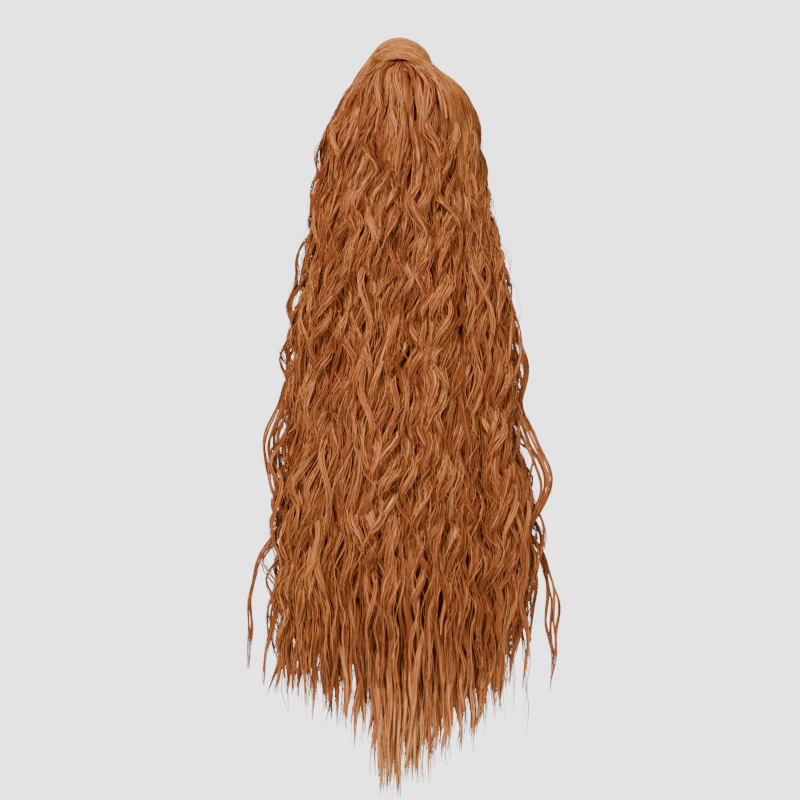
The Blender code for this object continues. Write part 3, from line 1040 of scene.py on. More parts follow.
@dataclass
class LockLayer:
    """A layer of locks: a streaked ribbon for each lock's mass, and single hairs laid over it."""

    name: str
    seed: int
    hair_radius: float = 0.00044
    ribbon_sides: int = 4
    hair_tones: float = 0.17
    palest: float = 0.80

    def __post_init__(self) -> None:
        """Start the layer's meshes and its random numbers."""
        self.random = np.random.default_rng(self.seed)
        self.ribbons = TubeMesh(f"{self.name}_locks", self.ribbon_sides, 4)
        self.hairs = TubeMesh(f"{self.name}_hairs", 3, 12)

    def lay_ribbon(self, guide: Guide) -> None:
        """Add the ribbon of one lock.

        Args:
            guide: The lock's middle line.
        """
        side, out = guide.axes()
        wheel = 2.0 * math.pi * np.arange(self.ribbon_sides) / self.ribbon_sides
        across = guide.half_width[:, None] * np.cos(wheel)
        height = guide.half_thickness[:, None] * np.sin(wheel)
        corners = guide.path[:, None] + across[..., None] * side[:, None]
        corners = corners + height[..., None] * out[:, None]
        strand = np.stack((guide.tone, guide.along), axis=-1)[:, None]
        strand = np.repeat(strand, self.ribbon_sides, axis=1)
        base = self.random.uniform(0.0, 3.0)
        reach = np.repeat(base + reach_along(guide.path)[:, None], self.ribbon_sides, 1)
        flow = np.stack((base + across, reach), axis=-1)
        sides = np.stack((wheel, wheel + 2.0 * math.pi / self.ribbon_sides), axis=-1)
        self.ribbons.add(corners[None], strand[None], flow[None], 0.5 + 0.5 * np.cos(sides))

    def lay_lock(
        self, guide: Guide, count: int, loose: float, all_round: bool = False, point_end: bool = False
    ) -> None:
        """Add the ribbon of one lock and its hairs, as lay_hairs takes them."""
        self.lay_ribbon(guide)
        self.lay_hairs(guide, count, loose, all_round, point_end)

    def lay_hairs(
        self, guide: Guide, count: int, loose: float, all_round: bool = False, point_end: bool = False
    ) -> None:
        """Add the hairs of one lock.

        Args:
            guide: The lock's middle line.
            count: How many hairs.
            loose: How far the hairs wander off the lock, in metres.
            all_round: Whether they lie on both of the lock's faces.
            point_end: Whether they end in points of differing lengths.
        """
        draw = self.random
        side, out = guide.axes()
        steps = len(guide.path)
        part = np.linspace(0.0, 1.0, steps)
        reach = 1.0 - 0.30 * draw.random(count) ** 1.6 if point_end else np.ones(count)
        places = part[None, :] * reach[:, None] * (steps - 1)
        seats = (np.arange(count) + draw.uniform(0.1, 0.9, count)) / count
        wheel = 2.0 * math.pi * seats if all_round else math.pi * (0.04 + 0.92 * seats)
        each = (count, 1)
        swing = draw.uniform(0.15, 0.55, each)
        swing = swing * np.sin(part * draw.uniform(2.0, 6.0, each) + draw.uniform(*PHASES, each))
        wheel = wheel[:, None] + swing
        lift = self.hair_radius * draw.uniform(-0.2, 1.0, each)
        metres = places * np.linalg.norm(np.diff(guide.path, axis=0), axis=1).mean()
        rate = 2.0 * math.pi / draw.uniform(0.028, 0.075, each)
        wander = loose * draw.uniform(0.3, 1.0, each)
        wander = wander * np.sin(rate * metres + draw.uniform(*PHASES, each))
        rise = 0.5 * loose * draw.uniform(0.0, 1.0, each)
        rise = rise * np.sin(1.3 * rate * metres + draw.uniform(*PHASES, each))
        across = sample(guide.half_width, places) * np.cos(wheel) + wander
        height = sample(guide.half_thickness, places) * np.sin(wheel) + lift + rise
        late = np.clip(places + draw.normal(0.0, 0.30, each), 0.0, steps - 1.0)
        own = draw.uniform(0.8, 1.2, (count, 1, 1)) * sample(guide.sway, late)
        paths = sample(guide.path - guide.sway, places) + own
        paths = paths + across[..., None] * sample(side, places)
        paths = paths + height[..., None] * sample(out, places)
        width = self.hair_radius * draw.uniform(0.72, 1.2, each)
        thin_end = 0.60 * ease((part - 0.55) / 0.45) if point_end else 0.75 * ease((part - 0.9) / 0.1)
        thin = (0.25 + 0.75 * ease(part / 0.10)) * (1.0 - thin_end)
        tones = sample(guide.tone, places) + draw.normal(0.0, self.hair_tones, each)
        tones = np.clip(tones, 0.0, self.palest)
        self.add_hairs(paths, width * thin, tones, sample(guide.along, places))

    def add_hairs(
        self, paths: np.ndarray, radii: np.ndarray, tones: np.ndarray, along: np.ndarray
    ) -> None:
        """Turn hairs into three-sided tubes.

        Args:
            paths: Points, by hair and by place along it.
            radii: Radii at those points.
            tones: Tone at each point, from 0 to 1.
            along: Tip value at each point, from 0 to 1.
        """
        runs = unit(np.gradient(paths, axis=1))
        slant = np.array((0.72, -0.25, 0.65))
        first = unit(slant - runs * (runs @ slant)[..., None])
        second = np.cross(runs, first)
        rings = []
        for corner in range(3):
            angle = 2.0 * math.pi * corner / 3.0
            offset = math.cos(angle) * first + math.sin(angle) * second
            rings.append(paths + radii[..., None] * offset)
        corners = np.stack(rings, axis=2)
        tone = np.broadcast_to(tones[:, :, None], corners.shape[:3])
        tip = np.broadcast_to(along[:, :, None], corners.shape[:3])
        strand = np.stack((tone, tip), axis=-1)
        self.hairs.add(corners, strand, np.zeros_like(strand), np.array(((0.0, 1.0),) * 3))

    def finish(self, slot: Slot, finishes: tuple, node: str) -> None:
        """Make the layer's pieces and hand them over.

        Args:
            slot: The record's slot.
            finishes: The ribbons' and the hairs' materials.
            node: The CAD node that the pieces stand for.
        """
        for mesh, material in zip((self.ribbons, self.hairs), finishes):
            if mesh.tubes:
                LOG.info("%s: %d tubes, %d triangles", mesh.name, mesh.tubes, mesh.triangles)
                hand_over(mesh.build(), slot, material, node)


def smooth_line(controls: np.ndarray, spacing: float) -> np.ndarray:
    """Run a smooth line through control points.

    Args:
        controls: The points that it passes through.
        spacing: The wanted distance between its points.

    Returns:
        Evenly spaced points on the line.
    """
    reach = reach_along(controls)
    fine = np.linspace(0.0, reach[-1], 20 * len(controls))
    dense = smooth_table(np.column_stack((reach, controls)), fine)[:, 1:]
    length = reach_along(dense)
    even = np.linspace(0.0, length[-1], int(round(length[-1] / spacing)) + 1)
    return np.stack([np.interp(even, length, dense[:, axis]) for axis in range(3)], axis=-1)


class LockPlan(NamedTuple):
    """How one wavy lock runs over the fall."""

    angle: float
    depth: float
    start: float
    end: float
    length: float
    phase: float
    half_width: float
    flatness: float
    tone: float
    drift: float = 0.0
    gain: float = 1.0
    hand: float = 1.0
    sink_in: float = 1.0
    sink_out: float = 1.0


@dataclass(frozen=True)
class LockStyle:
    """The ranges that the locks of one layer are drawn from."""

    shallow: float
    deep: float
    first: float
    last: float
    narrow: float
    wide: float
    flatness: float
    calm: float
    lively: float
    unrest: float
    stretch: float = 1.0
    tiers: tuple[float, ...] = ()
    tone: float = EVEN_TONE
    tone_spread: float = 0.15


# Broad locks that cover the under body, the face's own locks, and curls that stand off them
CARPET = LockStyle(
    shallow=0.0035,
    deep=0.0060,
    first=0.05,
    last=0.60,
    narrow=0.0040,
    wide=0.0060,
    flatness=0.20,
    calm=0.7,
    lively=1.1,
    unrest=0.4,
    tiers=(0.06, 0.30, 0.53),
)
STRAND = LockStyle(
    shallow=-0.0005,
    deep=0.0045,
    first=0.07,
    last=0.60,
    narrow=0.0016,
    wide=0.0034,
    flatness=0.24,
    calm=0.7,
    lively=1.30,
    unrest=0.6,
)
CURL = LockStyle(
    shallow=-0.0024,
    deep=0.0,
    first=0.10,
    last=0.54,
    narrow=0.0011,
    wide=0.0023,
    flatness=0.35,
    calm=1.2,
    lively=1.8,
    unrest=1.4,
    stretch=1.4,
    tone=0.58,
    tone_spread=0.10,
)


@dataclass
class Tail:
    """The falling hair: an under body and several layers of wavy locks with their single hairs."""

    fall: Fall
    seed: int = 20261130
    step: float = 0.0056
    sink: float = 0.009
    fan_base: int = 32
    fan_locks: int = 84
    carpet_locks: int = 96
    face_locks: int = 140
    curls: int = 28
    edge_locks: int = 34
    back_carpet_locks: int = 60
    back_locks: int = 60
    hem_parts: int = 8
    curtain_parts: int = 8
    veil_hairs: int = 420
    stray_hairs: int = 120
    body_top: float = 0.0240
    body_end: float = 0.79

    def __post_init__(self) -> None:
        """Start the random numbers that plan every layer, and make the locks' finishes."""
        self.random = np.random.default_rng(self.seed)
        self.finishes = (TAIL_MASS.make(), TAIL_HAIRS.make())

    def tip_value(self, drops: np.ndarray) -> np.ndarray:
        """Give how near to the hem a place is, from 0 to 1."""
        return ease((drops - 0.76) / 0.21)

    def guide(self, plan: LockPlan) -> Guide:
        """Run a lock's middle line down the fall.

        Args:
            plan: The lock's plan.

        Returns:
            The lock's middle line.
        """
        fall = self.fall
        steps = max(8, int(round(fall.drop * (plan.end - plan.start) / self.step)))
        part = np.linspace(0.0, 1.0, steps)
        drops = plan.start + (plan.end - plan.start) * part
        angle = plan.angle + plan.drift * (part - 0.5) + 0.05 * np.sin(3.0 * part + plan.phase)
        path, outward, forward, wave = fall.place(angle, drops, True)
        row_depth = np.minimum(1.0, fall.section(drops)["front"] / 0.9)
        inward = plan.depth * row_depth
        inward = inward + self.sink * plan.sink_in * (1.0 - ease(part / 0.17))
        inward = inward + self.sink * plan.sink_out * ease((part - 0.83) / 0.17)
        path -= inward[:, None] * outward
        phase = fall.wave_phase(angle, drops) + plan.phase + 0.7 * np.sin(5.0 * part + 5.0 * plan.phase)
        own_rate = 1.0 / plan.length - 1.0 / fall.wave_length
        phase = phase + 2.0 * math.pi * fall.drop * drops * own_rate
        fade = 1.0 - 0.8 * ease((drops - 0.68) / 0.22)
        uneven = 1.0 + 0.35 * np.sin(9.0 * part + 7.0 * plan.phase)
        height = fall.wave_height * plan.gain * wave * fade * uneven
        sway = (0.8 * plan.hand * height * np.sin(phase))[:, None] * forward
        sway[:, 0] += height * np.cos(phase)
        swell = 1.0 + 0.22 * np.sin(7.0 * part + 3.1 * plan.phase)
        taper_in = 1.0 - 0.6 * plan.sink_in * (1.0 - ease(part / 0.2))
        if plan.sink_out:
            taper_out = 1.0 - 0.6 * ease((part - 0.75) / 0.25)
        else:
            taper_out = 1.0 - 0.94 * ease((part - 0.35) / 0.65)
        half_width = plan.half_width * swell * taper_in * taper_out
        return Guide(
            path=path + sway,
            sway=sway,
            outward=outward,
            half_width=half_width,
            half_thickness=plan.flatness * half_width,
            along=self.tip_value(drops),
            twist=0.45 * plan.hand * np.sin(phase + 0.8) * wave,
            # The tone follows the clumps: painted light on the swollen clumps and painted shade where
            # they sink.
            tone=plan.tone + 0.11 * fall.clump(angle, drops),
        )

    def root_guide(self, plan: LockPlan) -> Guide:
        """Run a lock out of the band's mouth and down the fall.

        Args:
            plan: The lock's plan.

        Returns:
            The lock's middle line.
        """
        base = self.fall.base
        below = self.guide(plan)
        turn = math.pi / 2.0 - plan.angle
        inner = 1.0 - 0.75 * plan.depth / 0.012
        alongs = np.array((0.0060, 0.0088, 0.0115, 0.0134))
        radii = inner * np.array((0.0132, 0.0138, 0.0144, 0.0156))
        root = base.point(np.full(4, turn), radii, alongs)
        outward = unit(base.point(np.full(4, turn), radii + 0.01, alongs) - root)
        skip = 2
        slim = 0.0014 + 0.20 * plan.half_width
        grow = ease(np.linspace(0.0, 3.0, len(below.path)))[skip:]
        path = np.concatenate((root, below.path[skip:]))
        reach = reach_along(path)
        joined = (
            (np.zeros((4, 3)), below.sway[skip:]),
            (outward, below.outward[skip:]),
            (np.full(4, slim), below.half_width[skip:] * grow + slim * (1.0 - grow)),
            (np.zeros(4), below.twist[skip:] * grow),
            (np.full(4, plan.tone), below.tone[skip:]),
        )
        columns = [np.concatenate(pair) for pair in joined]
        even = np.linspace(0.0, reach[-1], int(round(reach[-1] / (0.92 * self.step))))
        values = smooth_table(np.column_stack((reach, path, *columns)), even)
        return Guide(
            path=values[:, 1:4],
            sway=values[:, 4:7],
            outward=values[:, 7:10],
            half_width=values[:, 10],
            half_thickness=plan.flatness * values[:, 10] + 0.0003,
            along=np.zeros(len(even)),
            twist=values[:, 11],
            tone=values[:, 12],
        )

    def plan_locks(self, count: int, low: float, high: float, style: LockStyle) -> list[LockPlan]:
        """Scatter locks over part of the fall's surface.

        Args:
            count: How many locks.
            low: The lowest angle round the section.
            high: The highest angle.
            style: The ranges that they are drawn from.

        Returns:
            The locks' plans, innermost first.
        """
        draw = self.random
        plans = []
        for number in range(count):
            share = (0.5 + number * ROUND_STEP) % 1.0
            start = style.first + (style.last - style.first) * ((0.5 + number * DOWN_STEP) % 1.0)
            if style.tiers:
                tiers = len(style.tiers)
                share = (number // tiers + draw.uniform(0.3, 0.7)) * tiers / count
                start = style.tiers[number % tiers] + draw.uniform(-0.02, 0.02)
            angle = self.fall.even_angle(min(share, 1.0), low, high)
            end = start + draw.uniform(0.26, 0.42)
            free = end > 0.78
            if free:
                reach = self.fall.hem_end(0.95 * self.fall.half_width * math.cos(angle))
                end = min(end, reach - draw.uniform(0.0, 0.09))
            plans.append(
                LockPlan(
                    angle=angle + draw.normal(0.0, 0.03),
                    depth=style.deep
                    + (style.shallow - style.deep) * number / count
                    + draw.uniform(-0.001, 0.001),
                    start=start,
                    end=end,
                    drift=draw.normal(0.0, 0.10),
                    gain=draw.uniform(style.calm, style.lively),
                    length=self.fall.wave_length * draw.uniform(0.985, 1.015 * style.stretch),
                    phase=draw.normal(0.0, style.unrest),
                    hand=float(draw.choice(HANDS, p=HAND_ODDS)),
                    half_width=draw.uniform(style.narrow, style.wide),
                    flatness=style.flatness,
                    sink_out=0.0 if free else 1.0,
                    # Deeper locks are drawn darker and outer ones lighter: painted shade under the locks
                    # that lie over them.
                    tone=draw.normal(style.tone, style.tone_spread) + 0.16 * (number / count - 0.5),
                )
            )
        return plans

    def build_layer(self, name: str, plans: list[LockPlan], hairs: int = 0, loose: float = 0.0) -> None:
        """Make the pieces of one layer of locks.

        Args:
            name: The layer's name.
            plans: The locks' plans.
            hairs: How many hairs lie on each lock.
            loose: How far the loosest hairs wander, in metres.
        """
        layer = LockLayer(name, self.seed + len(name))
        for plan in plans:
            guide = self.guide(plan)
            free = plan.sink_out == 0.0
            layer.lay_ribbon(guide)
            if hairs:
                layer.lay_hairs(guide, hairs, loose * self.random.uniform(0.4, 1.0), free, free)
        layer.finish(Slot.TAIL, self.finishes, "tail")

    def build_fan(self) -> None:
        """Lay the smoother locks that spread out of the band's mouth."""
        draw = self.random
        layer = LockLayer("tail_fan", self.seed + 1)
        for number in range(self.fan_base):
            plan = LockPlan(
                angle=2.0 * math.pi * (number + 0.5) / self.fan_base,
                depth=0.0045,
                start=self.body_top,
                end=0.20,
                gain=0.6,
                length=self.fall.wave_length * 1.3,
                phase=draw.uniform(0.0, 2.0 * math.pi),
                half_width=0.0072,
                flatness=0.15,
                sink_in=0.0,
                tone=0.45,
            )
            layer.lay_ribbon(self.root_guide(plan))
        for number in range(self.fan_locks):
            spread = (number * GOLDEN_STEP) % 1.0
            front = number % 5 < 3
            plan = LockPlan(
                angle=math.pi * (spread if front else 1.0 + spread),
                depth=0.006 * (1.0 - number / self.fan_locks),
                start=self.body_top,
                end=draw.uniform(0.22, 0.40),
                drift=draw.normal(0.0, 0.22),
                gain=draw.uniform(0.9, 1.6),
                length=self.fall.wave_length * draw.uniform(0.95, 1.20),
                phase=draw.normal(0.0, 0.8),
                hand=float(draw.choice(HANDS, p=HAND_ODDS)),
                half_width=draw.uniform(0.0014, 0.0030),
                flatness=0.20,
                sink_in=0.0,
                tone=draw.normal(0.52, 0.13),
            )
            layer.lay_lock(self.root_guide(plan), 7, 0.0024)
        layer.finish(Slot.TAIL, self.finishes, "tail")

    def build_edges(self) -> None:
        """Lay the loose locks that make the tail's left and right outline uneven."""
        draw = self.random
        layer = LockLayer("tail_edge", self.seed + 5, hair_radius=0.00036)
        for number in range(self.edge_locks):
            start = 0.20 + 0.42 * ((number * GOLDEN_STEP) % 1.0)
            side = math.pi if number % 2 else 0.0
            plan = LockPlan(
                angle=side + draw.uniform(-0.30, 0.45) * (1.0 if side == 0.0 else -1.0),
                depth=-draw.uniform(0.0005, 0.0085),
                start=start,
                end=start + draw.uniform(0.16, 0.28),
                drift=draw.normal(0.0, 0.15),
                gain=draw.uniform(0.9, 1.5),
                length=self.fall.wave_length * draw.uniform(0.9, 1.2),
                phase=draw.uniform(0.0, 2.0 * math.pi),
                hand=float(draw.choice(HANDS)),
                half_width=draw.uniform(0.0012, 0.0022),
                flatness=0.5,
                sink_out=0.5,
                tone=draw.normal(0.45, 0.12),
            )
            layer.lay_lock(self.guide(plan), 6, 0.0008, all_round=True)
        layer.finish(Slot.TAIL, self.finishes, "tail")

    def hang(self, across: np.ndarray, face: np.ndarray, drops: np.ndarray) -> np.ndarray:
        """Place a line's points by metres across and out of the face, and by share of the drop."""
        return np.stack((across, -self.fall.stand - face, -self.fall.drop * drops), axis=-1)

    def hem_guide(
        self, lock: HemLock, aside: float, widths: tuple[float, float], late: float, spread: float
    ) -> Guide:
        """Run one pointed lock of the hem.

        Args:
            lock: The row that it belongs to.
            aside: Where it lies beside the row's middle, from -1 to 1.
            widths: The least and the greatest half width.
            late: The share of its length after which it narrows to its point.
            spread: How far its tone may differ from the middle one.

        Returns:
            The lock's middle line.
        """
        draw = self.random
        fall = self.fall
        start = draw.uniform(0.54, 0.68)
        end = lock.end - 0.055 * draw.random() ** 2
        steps = int(round(fall.drop * (end - start) / self.step))
        part = np.linspace(0.0, 1.0, steps)
        drops = start + (end - start) * part
        root = lock.root + 0.09 * aside + 0.03 * draw.normal()
        tip = lock.tip + 0.075 * aside + 0.02 * draw.normal()
        hand = float(draw.choice(HANDS, p=HAND_ODDS))
        phase = fall.wave_phase(math.acos(max(-1.0, min(1.0, root))), drops) + draw.normal(0.0, 0.8)
        fade = 1.0 - 0.8 * ease((drops - 0.66) / 0.22)
        height = fall.wave_height * draw.uniform(0.8, 1.4) * fade
        out = 0.6 * lock.out + draw.uniform(-0.45, 0.55)
        face = fall.half_depth * out * (1.0 - 0.5 * part)
        face = face - 0.004 * np.sign(out) * (1.0 - ease(part / 0.2))
        bend = 0.004 * draw.normal() * np.sin(math.pi * part * draw.uniform(0.8, 1.6))
        across = fall.half_width * (root + (tip - root) * part) + bend
        sway = swing(height, phase, 0.6 * hand)
        narrowing = np.clip((part - late) / (1.0 - late), 0.0, 1.0)
        taper = (0.4 + 0.6 * ease(part / 0.15)) * (1.0 - 0.95 * narrowing**1.3)
        half_width = draw.uniform(*widths) * taper
        return Guide(
            path=self.hang(across, face, drops) + sway,
            sway=sway,
            outward=np.tile((0.0, -1.0, 0.0), (steps, 1)),
            half_width=half_width,
            half_thickness=0.28 * half_width,
            along=self.tip_value(drops),
            twist=0.4 * np.sin(phase) * fade,
            tone=np.full(steps, draw.normal(0.53, spread)),
        )

    def build_hem(self) -> None:
        """Lay the pointed locks of the stepped hem."""
        layer = LockLayer("tail_hem", self.seed + 2)
        for lock in HEM_LOCKS:
            curtains = self.curtain_parts + (5 if lock.end > 0.965 else 0)
            for number in range(curtains):
                aside = 2.0 * (number + 0.5) / curtains - 1.0
                layer.lay_ribbon(self.hem_guide(lock, aside, (0.0032, 0.0052), 0.50, 0.05))
            parts = self.hem_parts + (10 if lock.end > 0.975 else 0)
            for number in range(parts):
                aside = 2.0 * (number + 0.5) / parts - 1.0
                guide = self.hem_guide(lock, aside, (0.0014, 0.0030), 0.25, 0.11)
                layer.lay_lock(guide, 6, 0.0030, all_round=True, point_end=True)
        layer.finish(Slot.TAIL, self.finishes, "tail")

    def side_guide(self, rows: tuple, share: float, first: float) -> Guide:
        """Run one part of a lock that stands clear of the fall.

        Args:
            rows: The lock's table.
            share: Where the part lies across the lock, from -1 to 1.
            first: Where the lock's crinkle starts, as an angle.

        Returns:
            The part's middle line.
        """
        draw = self.random
        fall = self.fall
        steps = int(round(fall.drop * (rows[-1].drop - rows[0].drop) / 0.0048))
        part = np.linspace(0.0, 1.0, steps)
        values = smooth_table(rows, rows[0].drop + (rows[-1].drop - rows[0].drop) * part)
        drops = values[:, 0]
        full = fall.lock_half_width * values[:, 3]
        phase = 2.0 * math.pi * fall.drop * drops / 0.046 + first + draw.uniform(-0.9, 0.9)
        apart = 0.55 + 0.40 * np.sin(2.6 * math.pi * part + first)
        across = fall.half_width * values[:, 1] + 0.9 * share * full * apart
        sway = swing(0.16 * full, phase, 0.8)
        half_width = 0.12 * full * (1.0 + 0.3 * np.sin(9.0 * part + phase[0]))
        return Guide(
            path=self.hang(across, fall.half_depth * values[:, 2], drops) + sway,
            sway=sway,
            outward=np.tile((0.0, -1.0, 0.0), (steps, 1)),
            half_width=half_width,
            half_thickness=0.6 * half_width,
            along=self.tip_value(drops),
            twist=0.5 * np.sin(phase),
            tone=np.full(steps, draw.normal(0.54, 0.14)),
        )

    def build_sides(self) -> None:
        """Lay the crinkled locks that stand clear of the fall."""
        layer = LockLayer("tail_side", self.seed + 3, hair_radius=0.00036)
        for rows in (RIGHT_LOOP, RIGHT_LOWER, LEFT_ZIGZAG, LEFT_LOWER):
            free = rows[-1].full < 0.2
            first = self.random.uniform(*PHASES)
            for share in (-0.8, -0.2, 0.3, 0.8):
                guide = self.side_guide(rows, share, first)
                layer.lay_lock(guide, 7, 0.0005, all_round=True, point_end=free)
        layer.finish(Slot.TAIL, self.finishes, "tail")

    def build_veil(self) -> None:
        """Lay single hairs evenly over the face, which join its locks."""
        draw = self.random
        layer = LockLayer("tail_veil", self.seed + 6, hair_radius=0.00040)
        for number in range(self.veil_hairs):
            start = 0.04 + 0.60 * ((number * DOWN_STEP) % 1.0)
            plan = LockPlan(
                angle=self.fall.even_angle((number * ROUND_STEP) % 1.0, 0.0, math.pi),
                depth=draw.uniform(-0.0010, 0.0008),
                start=start,
                end=start + draw.uniform(0.20, 0.32),
                drift=draw.normal(0.0, 0.08),
                gain=draw.uniform(0.7, 1.4),
                length=self.fall.wave_length,
                phase=draw.normal(0.0, 0.7),
                half_width=0.0006,
                flatness=0.5,
                sink_in=0.6,
                sink_out=0.6,
                tone=draw.normal(0.52, 0.16),
            )
            layer.lay_hairs(self.guide(plan), 1, 0.0010, all_round=True)
        layer.finish(Slot.TAIL, self.finishes, "tail")

    def build_strays(self) -> None:
        """Lay single loose hairs that stand a little off the fall."""
        draw = self.random
        layer = LockLayer("tail_stray", self.seed + 4, hair_radius=0.00026)
        for _ in range(self.stray_hairs):
            start = draw.uniform(0.08, 0.62)
            plan = LockPlan(
                angle=draw.uniform(-0.5, math.pi + 0.5),
                depth=-draw.uniform(0.0, 0.005),
                start=start,
                end=start + draw.uniform(0.12, 0.3),
                drift=draw.normal(0.0, 0.07),
                gain=draw.uniform(1.0, 1.8),
                length=self.fall.wave_length * draw.uniform(0.9, 1.15),
                phase=draw.normal(0.0, 1.2),
                hand=float(draw.choice(HANDS)),
                half_width=0.0006,
                flatness=0.5,
                sink_in=0.5,
                sink_out=0.3,
                tone=draw.uniform(0.45, 0.85),
            )
            layer.lay_hairs(self.guide(plan), 1, 0.0015, all_round=True, point_end=True)
        layer.finish(Slot.TAIL, self.finishes, "tail")

    def build_under_body(self) -> None:
        """Model the dark body under the locks from a cylinder."""
        deselect()
        cuts = 68
        tall = 0.6
        bpy.ops.mesh.primitive_cylinder_add(
            vertices=56, radius=0.05, depth=tall, end_fill_type="TRIFAN"
        )
        body = bpy.context.object
        body.name = "tail_under_body"
        body.data.name = body.name
        bpy.ops.object.mode_set(mode="EDIT")
        bpy.ops.mesh.select_mode(type="EDGE")
        bpy.ops.mesh.select_all(action="DESELECT")
        bpy.ops.object.mode_set(mode="OBJECT")
        for edge in body.data.edges:
            first, second = (body.data.vertices[index].co for index in edge.vertices)
            edge.select = abs(first.z - second.z) > tall / 2.0
        bpy.ops.object.mode_set(mode="EDIT")
        bpy.ops.mesh.subdivide(number_cuts=cuts)
        bpy.ops.mesh.select_mode(type="VERT")
        bpy.ops.object.mode_set(mode="OBJECT")
        points = read_points(body.data)
        ring = np.round((tall / 2.0 - points[:, 2]) / tall * (cuts + 1))
        level = np.clip((ring - 3.0) / (cuts - 2.0), 0.0, 1.0)
        drops = self.body_top + level * (self.body_end - self.body_top)
        angle = np.arctan2(points[:, 1], points[:, 0])
        middle = np.hypot(points[:, 0], points[:, 1]) < 0.02
        placed, outward, _, wave = self.fall.place(angle, drops, False)
        row = self.fall.section(drops)
        inward = np.minimum(0.0085, 0.55 * self.fall.half_depth * row["front"])
        inward = inward * (0.30 + 0.70 * ease((drops - 0.03) / 0.06))
        inward = inward + 0.0014 * wave * np.cos(16.0 * angle + 2.0 * np.sin(60.0 * drops))
        placed -= inward[:, None] * outward
        heart = np.zeros_like(placed)
        heart[:, 1] = -self.fall.stand * row["stand"]
        heart[:, 2] = -self.fall.drop * drops
        shrink = 0.62 * ease((drops - 0.56) / 0.22)
        placed[:, :2] += shrink[:, None] * (heart - placed)[:, :2]
        placed = np.where(middle[:, None], heart, placed)
        base = self.fall.base
        alongs = np.array((0.0058, 0.0090, 0.0118))
        radii = np.array((0.0154, 0.0154, 0.0152))
        root = np.minimum(ring, 2.0).astype(int)
        plug = base.point(math.pi / 2.0 - angle, np.where(middle, 0.0, radii[root]), alongs[root])
        placed = np.where((ring < 3.0)[:, None], plug, placed)
        body.data.vertices.foreach_set("co", placed.ravel())
        mark_mass(body.data, 0.07 * np.abs(angle), self.fall.drop * drops)
        activate(body)
        bpy.ops.object.mode_set(mode="EDIT")
        bpy.ops.mesh.select_all(action="SELECT")
        bpy.ops.mesh.normals_make_consistent(inside=False)
        bpy.ops.object.mode_set(mode="OBJECT")
        bpy.ops.object.shade_smooth()
        hand_over(body, Slot.TAIL, TAIL_SHADE.make(), "tail")

    def build(self) -> None:
        """Build the tail from the inside out."""
        self.build_under_body()
        carpet = self.plan_locks(self.carpet_locks, 0.0, math.pi, CARPET)
        self.build_layer("tail_carpet", carpet)
        self.build_fan()
        face = self.plan_locks(self.face_locks, 0.0, math.pi, STRAND)
        half = self.face_locks // 2
        self.build_layer("tail_face_under", face[:half], 2, 0.0030)
        self.build_layer("tail_face_over", face[half:], 8, 0.0030)
        self.build_veil()
        curls = self.plan_locks(self.curls, 0.3, math.pi - 0.3, CURL)
        self.build_layer("tail_curls", curls, 10, 0.0016)
        self.build_edges()
        back_carpet = self.plan_locks(self.back_carpet_locks, math.pi, 2.0 * math.pi, CARPET)
        self.build_layer("tail_back_carpet", back_carpet)
        back = self.plan_locks(self.back_locks, math.pi, 2.0 * math.pi, STRAND)
        self.build_layer("tail_back", back, 4, 0.0026)
        self.build_hem()
        self.build_sides()
        self.build_strays()


